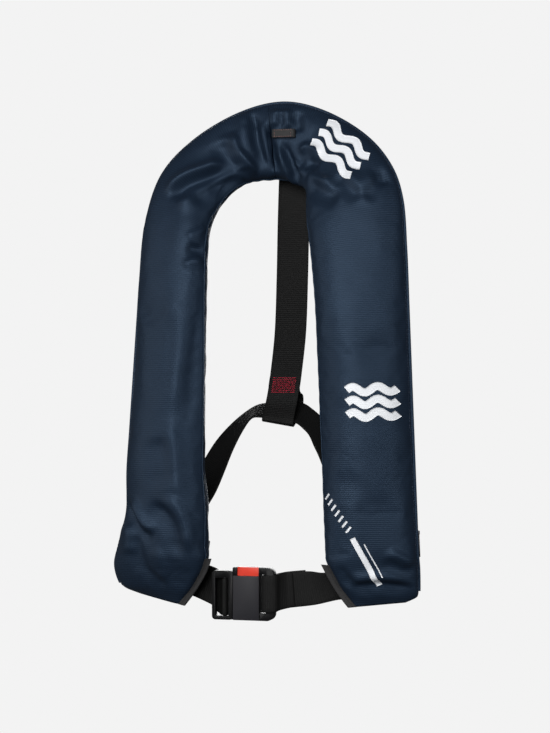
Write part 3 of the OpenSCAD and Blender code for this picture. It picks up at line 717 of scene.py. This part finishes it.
# The photograph doesn't show the back
BACK_FOLDS = [
    ([(-44, 24), (-34, -6), (-30, -40)], 6, -4),
    ([(-58, 14), (-50, -14), (-44, -44)], 7, 3.5),
    ([(-84, 0), (-70, -30), (-58, -52)], 7, -3.5),
    ([(26, 26), (22, -10), (20, -44)], 6, 3.5),
    ([(42, 20), (36, -14), (30, -50)], 6, -3.5),
    ([(64, 10), (52, -20), (38, -60)], 7, 3),
    ([(88, -6), (70, -34), (44, -74)], 7, -3),
    ([(-126, -60), (-100, -72), (-78, -100)], 8, 3),
    ([(128, -70), (96, -82), (50, -104)], 8, 2.5),
    ([(-160, -430), (-120, -440), (-90, -450)], 7, 2.5, "step"),
    ([(80, -470), (110, -480), (150, -474)], 6, -2.5),
]


# Two scales of smooth unevenness: bumps each way, height and seed
UNEVEN = (((34, 8), 0.7, 4), ((70, 14), 0.4, 5))
# Rings or rows over which the folds fade in from a sewn edge, and from the inner seam
EDGE_HOLD = 4
SEAM_HOLD = 3


def fold_cover():
    """Presses the folds, an unevenness and the inner seam's puckers into the cover."""
    co = coordinates(cover).reshape(RINGS, ROWS, 3)
    normal = grid_normals(co)
    flat = co.reshape(-1, 3)[:, [0, 2]]
    height = np.zeros(len(flat))
    front = (row_of >= 1) & (row_of <= MID_ROW + 1)
    for side, folds in ((front, FRONT_FOLDS), (~front, BACK_FOLDS)):
        chosen = np.nonzero(side)[0]
        for fold in folds:
            height[chosen] += FOLD_GAIN * fold_height(flat[chosen], *fold)
    height = np.where(height < 0, -FOLD_DEEPEST * np.tanh(-height / FOLD_DEEPEST), height)
    for cells, amount, seed in UNEVEN:
        height += amount * soft_field((RINGS, ROWS), cells, seed).ravel()
    # the sewn edges stay where they are, and the inner seam puckers
    from_zip = np.minimum(row_of - 1, ROWS - 1 - row_of)
    from_seam = np.abs(row_of - MID_ROW)
    from_end = np.minimum(ring_of, RINGS - 1 - ring_of)
    hold = smoothstep(from_zip / EDGE_HOLD) * (0.25 + 0.75 * smoothstep(from_seam / SEAM_HOLD))
    hold *= smoothstep(from_end / EDGE_HOLD)
    pucker = 0.5 + 0.9 * np.clip(1 - np.abs(station_of - PUCKER_MIDDLE) / 3.2, 0, 1)
    wave = np.sin(run_length[ring_of] / 2.9 + 1.5 * np.sin(run_length[ring_of] / 21))
    height = height * hold - pucker * (0.5 + 0.5 * wave) * np.exp(-((from_seam - 1.2) / 1.6) ** 2)
    set_coordinates(cover, co.reshape(-1, 3) + normal.reshape(-1, 3) * height[:, None])


fold_cover()
skin = coordinates(cover).reshape(RINGS, ROWS, 3)
bpy.data.objects.remove(cover)
SHELL = 0.9


def panel(name, first, last, rows):
    """One panel of the cover: part of the worked grid, made finer, with a thickness inwards."""
    rows = [r % ROWS for r in rows]
    part = skin[first:last + 1][:, rows]
    lengths = across[first:last + 1][:, rows]
    runs = np.repeat(run_length[first:last + 1, None], len(rows), 1)
    weave = np.stack([lengths, runs], -1).reshape(-1, 2)
    faces = cover_faces(len(part), len(rows))
    obj = mesh_object(name + ".cloth", part.reshape(-1, 3), faces, weave)
    sub = obj.modifiers.new("finer", "SUBSURF")
    sub.levels = sub.render_levels = 1
    sub.boundary_smooth = "PRESERVE_CORNERS"
    shell = obj.modifiers.new("shell", "SOLIDIFY")
    shell.thickness = SHELL * MM
    shell.offset = -1
    apply_modifiers(obj)
    obj.data.shade_smooth()
    finish_piece(obj, "cover_nylon", "root", [name])
    return obj


front_rows = list(range(1, MID_ROW + 1))
back_rows = list(range(MID_ROW, ROWS))
panels = [
    panel("cover_front_right", 0, SEAM_RING, front_rows),
    panel("cover_front_left", SEAM_RING, RINGS - 1, front_rows),
    panel("cover_back_right", 0, SEAM_RING, back_rows),
    panel("cover_back_left", SEAM_RING, RINGS - 1, back_rows),
]


def surface_of(objects):
    """A ray-castable copy of the pieces' surfaces, in millimetres."""
    points, faces = [], []
    for obj in objects:
        start = len(points)
        points += [Vector(p) for p in coordinates(obj)]
        faces += [[start + i for i in polygon.vertices] for polygon in obj.data.polygons]
    return BVHTree.FromPolygons(points, faces)


front_skin = surface_of(panels[:2])
back_skin = surface_of(panels[2:])


def onto_skin(tree, point, lift):
    """The nearest place on the skin to a point near it, lifted off outwards."""
    place, normal, _, _ = tree.find_nearest(Vector(point))
    away = Vector(point) - place
    if normal.dot(away) < 0 and away.length > 0.05:
        normal = -normal
    return np.array(place + normal * lift)


def onto_front(x, z, lift):
    """Place on the front of the cover at (x, z), seen along +Y, lifted off it."""
    hit, normal, _, _ = front_skin.ray_cast(Vector((x, -400, z)), Vector((0, 1, 0)))
    if hit is None:
        return None
    if normal.y > 0:
        normal = -normal
    return np.array(hit + normal * lift), np.array(normal)


# ---- folded bladder
# Stations, and how far forward of the lobe's middle the bladder's flat front lies at each
BLADDER_FRONT = ((1.9, -16.8), (7.4, -16.8), (8.8, 9), (18.4, 9), (19.6, -4), (28, -4))
BLADDER_ENDS = 1.95, 27.95
BLADDER_INSET = 7.0
BLADDER_STEP = 5.0
PLEATS = 4
PLEAT_DEPTH = 0.14


def folded_bladder():
    """The bladder as it is packed: pleated lengthways, and flat in front where the fittings lie."""
    s = even_steps(MIDDLE, BLADDER_STEP)
    s = s[(s > BLADDER_ENDS[0]) & (s < BLADDER_ENDS[1])]
    lengths = BLADDER_STEP * np.arange(1, len(s) + 1)
    middle, out, front, half_w, half_t = lobe_frame(s)
    limit = np.interp(s, *zip(*BLADDER_FRONT))
    points, weave = [], []
    for i in range(len(s)):
        a, b = half_w[i] - BLADDER_INSET, half_t[i] - BLADDER_INSET
        cut = math.copysign(section_angle(abs(limit[i]) / b), limit[i])
        arc = np.linspace(-math.pi - cut, cut, 60)
        drift = 0.5 * math.sin(lengths[i] / 40)
        pleat = 1 - PLEAT_DEPTH * np.abs(np.sin(PLEATS * arc + drift))
        pleat *= 1 + 0.02 * math.sin(lengths[i] / 9)
        p, q = a * bulge(np.cos(arc)) * pleat, b * bulge(np.sin(arc)) * pleat
        t = np.linspace(0, 1, 14)[1:-1]
        p = np.concatenate([p, p[-1] + (p[0] - p[-1]) * t])
        q = np.concatenate([q, q[-1] + (q[0] - q[-1]) * t - 0.5 * np.sin(6 * math.pi * t) ** 2])
        points += list(middle[i] + np.outer(p, out[i]) + np.outer(q, front[i]))
        weave += [(half_w[i] * 3 * k / len(p), lengths[i]) for k in range(len(p))]
    obj = closed_object("bladder.folded", points, tube_faces(len(s), len(p)), weave)
    finish_piece(obj, "bladder_fabric", "root", ["bladder"])


folded_bladder()

# ---- cover stitching


def stitches(points, length=3.0, gap=0.9):
    """Splits a dense path into the short visible runs of a sewn seam."""
    points = np.asarray(points)
    run = run_lengths(points)
    made, start = [], 0.0
    while start + length < run[-1]:
        at = np.linspace(start, start + length, 3)
        made.append(np.stack([np.interp(at, run, points[:, k]) for k in range(3)], -1))
        start += length + gap
    return made


def grid_line(row, first, last, tree, lift):
    """A path on the cover along a fractional row of its grid."""
    low = int(row)
    path = skin[first:last + 1, low] * (1 - row + low) + skin[first:last + 1, low + 1] * (row - low)
    dense = curve_at(path, np.linspace(0, len(path) - 1, 3 * len(path)))
    return [onto_skin(tree, p, lift) for p in dense]


TOPSTITCH_ROW = 2.3
for side, row, tree in (
    ("front", TOPSTITCH_ROW, front_skin), ("back", ROWS - TOPSTITCH_ROW, back_skin)
):
    runs = stitches(grid_line(row, 4, RINGS - 5, tree, 0.15))
    finish_piece(thread("cover_topstitch." + side, runs, 0.28), "navy_thread")

# ---- cover edges


SECTION_STEP = 1.5


def edge_strip(name, row, first, last, section):
    """A closed strip of cover cloth along a row of the cover's grid.

    The section is given by (out, front) steps from the row."""
    edge = skin[first:last + 1, row]
    _, out, front, _, _ = lobe_frame(s_rings[first:last + 1])
    dense = np.linspace(0, len(edge) - 1, 2 * len(edge))
    edge = curve_at(edge, dense)
    out, front = (unit(curve_at(way, dense)) for way in (out, front))
    runs = np.interp(dense, np.arange(last - first + 1), run_length[first:last + 1])
    points, weave = [], []
    for i in range(len(edge)):
        for k, (p, q) in enumerate(section):
            points.append(edge[i] + out[i] * p + front[i] * q)
            weave.append((k * SECTION_STEP, runs[i]))
    obj = closed_object(name, points, tube_faces(len(edge), len(section)), weave)
    finish_piece(obj, "cover_nylon")


FLANGE = [(-1.6, 1.9), (0.6, 2.0), (1.6, 1.8), (2.0, 1.3), (1.6, 0.8), (0.4, 0.7), (-1.4, 0.7)]
edge_strip("cover_flange", 1, 5, RINGS - 6, FLANGE)
CORD_RADIUS = 0.95
CORD = [
    (-0.2 + CORD_RADIUS * math.cos(a), CORD_RADIUS * math.sin(a))
    for a in np.arange(8) * math.pi / 4
]
edge_strip("cover_inner_cord", MID_ROW, 6, RINGS - 7, CORD)

# ---- printed marks
# Plain waves and dashes: each is a ribbon round a line in the (x, z) plane of the front


PRINT_STEP = 1.6
PRINT_LIFT, PRINT_DEPTH = 0.25, 0.3


def print_mark(name, lines):
    """Thin printed shapes on the front; each line is (points, width), cut square at its ends."""
    points, faces, weave = [], [], []
    for line, width in lines:
        curved = len(line) > 2
        path = curve_at(line, even_steps(line, PRINT_STEP) if curved else np.linspace(0, 1, 6))
        ahead = unit(np.gradient(path, axis=0))
        side = np.stack([-ahead[:, 1], ahead[:, 0]], -1)
        count = max(2, int(round(width / PRINT_STEP)) + 1)
        steps = np.linspace(-0.5, 0.5, count)
        flat = [p + q * u * width for p, q in zip(path, side) for u in steps]
        hits = [onto_front(x, z, PRINT_LIFT) for x, z in flat]
        if None in hits:
            continue
        top, under = len(points), len(points) + len(hits)
        points += [p for p, _ in hits] + [p - n * (PRINT_LIFT + PRINT_DEPTH) for p, n in hits]
        weave += flat * 2
        sheet = grid_faces(len(path), count)
        faces += [tuple(top + v for v in face) for face in sheet]
        faces += [tuple(under + v for v in reversed(face)) for face in sheet]
        last = (len(path) - 1) * count
        rim = list(range(count)) + [i * count + count - 1 for i in range(1, len(path))]
        rim += [last + j for j in range(count - 2, -1, -1)]
        rim += [i * count for i in range(len(path) - 2, 0, -1)]
        for a, b in zip(rim, rim[1:] + rim[:1]):
            faces.append((top + a, under + a, under + b, top + b))
    finish_piece(closed_object(name, points, faces, weave), "print_white")


WAVE_COUNT, WAVE_WIDTH, WAVE_HEIGHT = 3, 8.5, 3.2


def wave_lines(centre, length, height, turn):
    """Stacked wave stripes round a centre, turned in the (x, z) plane by degrees."""
    c, d = math.cos(math.radians(turn)), math.sin(math.radians(turn))
    u = np.linspace(-0.5, 0.5, 25)
    lines = []
    for k in range(WAVE_COUNT):
        offset = (k - (WAVE_COUNT - 1) / 2) * height / WAVE_COUNT
        local = np.stack([u * length, offset + WAVE_HEIGHT * np.sin(4 * math.pi * u)], -1)
        lines.append((local @ np.array([[c, d], [-d, c]]) + np.array(centre), WAVE_WIDTH))
    return lines


print_mark("print_chest.waves", wave_lines((112, -296), 50, 40, 2))
print_mark("print_shoulder.waves", wave_lines((66, -23), 66, 40, -38))
DASH_FROM, DASH_TO = np.array([63.0, -397.0]), np.array([88.0, -431.0])
DASH_HALF = np.array([2.6, 3.2])
DASH_COUNT, DASH_WIDTH = 7, 2.4
dashes = []
for k in range(DASH_COUNT):
    middle = DASH_FROM + (DASH_TO - DASH_FROM) * k / (DASH_COUNT - 1)
    dashes.append(([middle + DASH_HALF, middle - DASH_HALF], DASH_WIDTH))
dashes.append(([(92, -440), (100, -455), (108.5, -472), (117, -491)], 6.0))
dashes.append(([(104, -446), (111, -460), (118, -474), (122, -482)], 1.2))
print_mark("print_low.stripes", dashes)

# ---- hang loop
TAB_PATH = [
    (-11.4, 2.8), (-12.6, 0.6), (-12.6, -1.8), (-11.0, -3.3), (-6, -3.7), (0, -3.8), (6, -3.7),
    (10.6, -3.3), (12.0, -1.8), (12.2, 0.6), (11.4, 2.8),
]
TAB_LOW, TAB_HIGH = -7.4, 2.0
tab_pairs = [[(x, y, TAB_LOW), (x, y, TAB_HIGH)] for x, y in TAB_PATH]
tab = webbing("hang_loop.tape", tab_pairs, 1.3, 1.0, 6, 1.0)
finish_piece(tab, "binding_tape", "root", ["hang_loop"])


def tab_front(x, z):
    """A place just before the tab's front face, which is slightly hollow."""
    return x, -4.55 + 0.0022 * x * x, z


tab_rows = []
for z in (TAB_LOW + 1.1, TAB_HIGH - 1.1):
    tab_rows += stitches([tab_front(x, z) for x in np.linspace(-10.5, 10.5, 40)], 2.0, 0.6)
for x in (8.4, -9.8):
    run = np.linspace(TAB_LOW + 1.4, TAB_HIGH - 1.4, 12)
    tab_rows += stitches([tab_front(x, z) for z in run], 1.8, 0.6)
finish_piece(thread("hang_loop.stitching", tab_rows, 0.3), "tan_thread")

# ---- back strap
STRAP_HALF = 18.2
# Centre line, and how far the right edge stands below it
STRAP_PATH = [
    (2.4, 42.6, -5, 0), (2.3, 41.8, -25, 0), (2.2, 39.8, -42, 0), (2, 37.8, -61, 0),
    (1.2, 36.6, -100, 0), (-0.4, 38, -160, 0), (-3.4, 41, -220, 0), (-9.4, 44, -268, 0),
    (-12.2, 44.4, -286, 0),
    (-14, 41, -300, 0.5), (-15, 33, -313.5, 1.5), (-15.4, 30.8, -318.5, 2.6),
    (-15.4, 32.8, -322.4, 3), (-14.8, 50, -314.4, 2.6), (-14.2, 68, -302.6, 1.6),
    (-14, 71, -297, 0.4), (-13.6, 68, -291.5, 0), (-13.2, 60, -289.5, 0),
    (-12.8, 51.5, -287, 0), (-12.2, 47, -281, 0), (-10.4, 46.2, -270, 0),
]
strap_pairs = [
    [(x - STRAP_HALF, y, z + drop), (x + STRAP_HALF, y, z - drop)] for x, y, z, drop in STRAP_PATH
]
strap_piece("back_strap.web", strap_pairs, 1.6, 2.0, "back_strap")
ZIGZAG_ROWS = 8
ZIGZAG = 0.42
red_rows = []
for i in range(ZIGZAG_ROWS):
    middle_x, y, z = -10.6 - i * 0.3, 43.1 + i * 0.02, -271.4 - i * 2.3
    xs = np.arange(-13.5, 13.6, 1.35)
    zigzag = [(middle_x + x, y, z + (ZIGZAG if k % 2 else -ZIGZAG)) for k, x in enumerate(xs)]
    red_rows += [zigzag[k:k + 2] for k in range(len(zigzag) - 1)]
red = thread("back_strap_stitching.rows", red_rows, 0.34)
finish_piece(red, "red_thread", "root", ["back_strap_stitching"])

# ---- waist belt
# Each belt is a list of its upper and lower edge points
BACK_BELT = [
    [(-143, 0, -476), (-105, -8, -484)], [(-137, 4, -445), (-100, -10, -450)],
    [(-124, 16, -414), (-90, -4, -420)], [(-112, 26, -386), (-79, 4, -397)],
    [(-100, 34, -361), (-70, 9, -374)], [(-86, 42, -338), (-62, 13, -352)],
    [(-68, 54, -317), (-54, 22, -331)], [(-49, 62, -303), (-46, 30, -317)],
    [(-33, 65.5, -300), (-36, 34, -315.6)], [(-14, 66, -299), (-14, 34.4, -318.4)],
    [(4, 65.5, -300), (4, 34, -321.6)], [(16, 62, -306), (14, 31, -328)],
    [(29, 57, -316), (22, 26, -335)], [(44, 48, -333), (29.5, 17, -346)],
    [(60, 36, -358), (39, 7, -361)], [(76, 24, -392), (54, -4, -396)],
    [(92, 12, -428), (67, -14, -441)], [(112, -5, -455), (77, -17, -467)],
    [(124, -6, -478), (86, -16, -486)],
]
# Where the right belt turns round the tongue's bar, and its upper and lower edge there
TURN = (
    (-52, -49.2), (-50, -50), (-49.2, -52), (-50, -54), (-52, -54.8), (-54, -54), (-55.2, -51.6),
)
TURN_HIGH, TURN_LOW = -487.2, -527.6
RIGHT_BELT = [
    [(-110, -12, -472), (-120, -14, -510)], [(-92, -21, -473), (-108, -24, -510)],
    [(-75, -33, -476), (-97, -33, -509)], [(-65, -40.8, -478), (-74, -39.8, -516.5)],
    [(-59, -43.6, -481.5), (-65, -42.4, -521)], [(-54.5, -47.4, -486.5), (-55, -47, -526.5)],
    *([(x, y, TURN_HIGH), (x, y, TURN_LOW)] for x, y in TURN),
    [(-57.6, -48.8, -487), (-57.6, -48.8, -527.4)],
    [(-61, -46.3, -485), (-61.6, -46.3, -525)], [(-67, -44.4, -481.5), (-69, -44.6, -521.5)],
]
LEFT_BELT = [
    [(100, -15.8, -474), (108, -16, -513)], [(82, -21, -475), (95, -22, -512)],
    [(66, -31, -477), (83, -29, -511)], [(54, -38, -480), (71, -34, -509)],
    [(39.5, -41, -478.6), (46, -41, -514.5)], [(20, -42.9, -479.3), (23, -43.5, -517.6)],
]
LEFT_BELT_END = [
    [(20, -42.9, -479.3), (23, -43.5, -517.6)], [(14, -43.4, -479.5), (17, -44, -518.5)],
    [(8.4, -50.4, -481), (9, -50.6, -520.4)], [(5.6, -57, -482), (5.8, -57.2, -521.8)],
    [(0.5, -59.2, -482.4), (0.5, -59.2, -522.4)], [(-5, -59.2, -482.6), (-5, -59.2, -522.6)],
    [(-8.9, -57.2, -482.7), (-8.9, -57.2, -522.7)], [(-9.4, -52, -482.8), (-9.4, -52, -522.8)],
    [(-8.8, -46.8, -482.8), (-8.8, -46.8, -522.8)], [(-5, -44.9, -482.7), (-5, -44.9, -522.7)],
    [(1, -44.6, -482.4), (1, -44.6, -522.4)], [(7, -42.8, -481), (7, -42.8, -520)],
    [(16, -40.4, -479.4), (17, -40.8, -517.4)], [(34, -38.6, -477.6), (36, -38.8, -514.4)],
]
strap_piece("waist_belt_back.web", BACK_BELT, 1.6, 2.5, "waist_belt_back", waves=0.3, seed=2)
strap_piece("waist_belt_right.web", RIGHT_BELT, 1.5, 1.5, "waist_belt_right", seed=3)
belt_run = strap_piece(
    "waist_belt_left.run", LEFT_BELT, 1.6, 2.0, "waist_belt_left", waves=0.3, seed=4
)
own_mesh(belt_run)
strap_piece(
    "waist_belt_left.buckle_end", LEFT_BELT_END, 1.5, 1.5, "waist_belt_left",
    "buckle_housing_group", seed=5,
)

# ---- bindings and belt guides


# How far the tape reaches out over the cover and in past its edge
BINDING_OVER, BINDING_PAST = 0.9, 8.2
BINDING_SEAM = 2.2


def binding(node_name, stops):
    """Folded tape along the slanted lower inner edge of a lobe."""
    stops = np.asarray(stops, float)
    inner = curve_at(INNER, stops)
    _, out, front, _, _ = lobe_frame(stops)
    inward = -out
    pairs = [[p - BINDING_OVER * d, p + BINDING_PAST * d] for p, d in zip(inner, inward)]
    tape = webbing(node_name + ".tape", pairs, 2.4, 1.5, 6, 1.5)
    finish_piece(tape, "binding_tape", "root", [node_name])
    rows = []
    for side in (-1.35, 1.35):
        seam = [p + BINDING_SEAM * d + side * f for p, d, f in zip(inner, inward, front)]
        rows += stitches(curve_at(seam, np.linspace(0, len(stops) - 1, 60)), 2.2, 0.8)
    finish_piece(thread(node_name + ".stitching", rows, 0.22), "binding_tape")


binding("edge_binding_right", [2.2, 1.6, 1, 0.5, 0])
binding("edge_binding_left", [28.1, 28.6, 29, 29.5, 30])


# The guide's arc over the back, in section angles, and how far it stands off the cover
GUIDE_POINTS = 10
GUIDE_FROM, GUIDE_SPAN = -142, 104
GUIDE_OFF, GUIDE_RISE = 1.5, 13


def belt_guide(name, station):
    """Sewn loop over the belt on the back of a lobe."""
    pairs = []
    for i in range(GUIDE_POINTS + 1):
        angle = math.radians(GUIDE_FROM + GUIDE_SPAN * i / GUIDE_POINTS)
        off = GUIDE_OFF + GUIDE_RISE * math.sin(math.pi * i / GUIDE_POINTS) ** 0.8
        pair = []
        for s in (station - 0.5, station + 0.5):
            middle, out, front, half_w, half_t = lobe_frame(np.array([s]))
            p = (half_w[0] + off / 3) * bulge(math.cos(angle))
            q = (half_t[0] + off) * bulge(math.sin(angle))
            pair.append(middle[0] + out[0] * p + front[0] * q)
        pairs.append(pair)
    strap_piece(name + ".web", pairs, 1.5, 2.0, name, across=6)


belt_guide("belt_guide_right", 2.5)
belt_guide("belt_guide_left", 27.5)

# ---- hard parts
BODIES = frame["record"]["behaviour"]["bodies"]
NODE_BODY = {node: body for body, nodes in BODIES.items() for node in nodes}


def rounded(node_name, material, width):
    """A copy of a hard CAD part with its sharp edges rounded, standing for it."""
    source = frame["nodes"][node_name]
    mesh = source.data.copy()
    bm = bmesh.new()
    bm.from_mesh(mesh)
    bmesh.ops.remove_doubles(bm, verts=bm.verts, dist=2e-6)
    bmesh.ops.dissolve_limit(bm, angle_limit=math.radians(2), verts=bm.verts, edges=bm.edges)
    bm.to_mesh(mesh)
    bm.free()
    obj = add_object(node_name + ".rounded", mesh)
    bevel = obj.modifiers.new("round", "BEVEL")
    bevel.width = width * MM
    bevel.segments = 2
    bevel.limit_method = "ANGLE"
    bevel.angle_limit = math.radians(32)
    apply_modifiers(obj)
    obj.data.shade_smooth()
    obj.data.set_sharp_from_angle(angle=math.radians(40))
    finish_piece(obj, material, NODE_BODY[node_name], [node_name])


for node_name, material, width in (
    ("buckle_housing", "black_plastic", 0.9), ("buckle_cover", "grey_plastic", 0.45),
    ("release_button", "red_plastic", 0.5), ("buckle_tongue", "black_plastic", 0.8),
    ("adjuster_bar", "steel", 0.3), ("zip_slider", "zip_metal", 0.3),
    ("zip_pull", "zip_metal", 0.35), ("pull_lever", "yellow_plastic", 0.6),
    ("inflator_body", "black_plastic", 0.7), ("auto_cap", "yellow_plastic", 0.6),
    ("oral_cap", "black_plastic", 0.6), ("whistle", "orange_plastic", 0.7),
    ("manifold", "seal_rubber", 0.6),
):
    rounded(node_name, material, width)

UP = np.array([0.0, 0, 1])
# The oral tube's direction
UP_LEFT = unit(np.array([-10.0, 0, 257]))


def spring(node_name, axis):
    """A copy of a CAD spring on the body that carries it, standing for it."""
    obj = add_object(node_name + ".coil", frame["nodes"][node_name].data.copy())
    obj.data.shade_smooth()
    finish_piece(obj, "steel", NODE_BODY[node_name], [node_name])
    along = coordinates(obj) @ axis
    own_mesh(obj)


spring("button_spring", UP)
spring("valve_spring", UP_LEFT)
spring("piercing_spring", UP)

# CAD solids shown as they are
CARRIED = {
    "zip_tape": "zip_fabric", "zip_coil": "zip_plastic", "latch_lever": "steel",
    "latch_pin": "steel", "gas_cylinder": "cylinder_steel", "neck_seal": "seal_rubber",
    "lever_pin": "steel", "piercing_pin": "steel", "cartridge": "cartridge_salt",
    "manifold_nut": "brass_nut", "reflective_tape": "reflective", "oral_tube": "seal_rubber",
    "oral_valve": "white_plastic", "valve_seat": "white_plastic", "whistle_band": "seal_rubber",
}
for node_name, material in CARRIED.items():
    mesh = frame["nodes"][node_name].data
    mesh.materials.clear()
    mesh.materials.append(materials[material])

# ---- stage and light


# The room, in metres, and its brightness
ROOM_RADIUS = 8
FLOOR_HEIGHT = -0.75
PALE = 0.8963


def add_room():
    """Closed pale room, seen by the camera only: a floor well below, a round wall and a dome."""
    new_material(
        "pale_room", (0, 0, 0), 1.0, Specular_IOR_Level=0,
        Emission_Color=(PALE, PALE, PALE, 1), Emission_Strength=1.0,
    )
    bm = bmesh.new()
    bmesh.ops.create_uvsphere(bm, u_segments=64, v_segments=32, radius=ROOM_RADIUS)
    for v in bm.verts:
        v.co.z = max(v.co.z, FLOOR_HEIGHT)
    bm.normal_update()
    mesh = bpy.data.meshes.new("room")
    bm.to_mesh(mesh)
    bm.free()
    room = add_object("room", mesh)
    mesh.materials.append(materials["pale_room"])
    for flag in ("visible_diffuse", "visible_glossy", "visible_transmission", "visible_shadow"):
        setattr(room, flag, False)


def softbox(name, azimuth, elevation, distance, width, height, power):
    """A rectangular lamp that faces the jacket; angles in degrees, lengths in metres, watts."""
    data = bpy.data.lights.new(name, "AREA")
    data.shape = "RECTANGLE"
    data.size, data.size_y = width, height
    data.energy = power
    lamp = add_object(name, data)
    a, e = math.radians(azimuth), math.radians(elevation)
    back = Vector((math.sin(a) * math.cos(e), -math.cos(a) * math.cos(e), math.sin(e)))
    lamp.location = VIEW_TARGET + back * distance
    lamp.rotation_euler = (-back).to_track_quat("-Z", "Y").to_euler()


add_room()
world = bpy.data.worlds.new("world")
world.use_nodes = True
background = world.node_tree.nodes["Background"]
background.inputs["Color"].default_value = (0.9, 0.95, 1.0, 1)
background.inputs["Strength"].default_value = 0.07
bpy.context.scene.world = world
softbox("key", -1, 17, 2.4, 1.5, 1.5, 54)
softbox("fill_left", -62, 4, 2.4, 1.2, 1.6, 15)
softbox("fill_right", 60, 6, 2.4, 0.8, 1.6, 16)
softbox("back", 190, 12, 2.6, 1.6, 1.6, 45)
bpy.context.scene.view_settings.view_transform = "Standard"
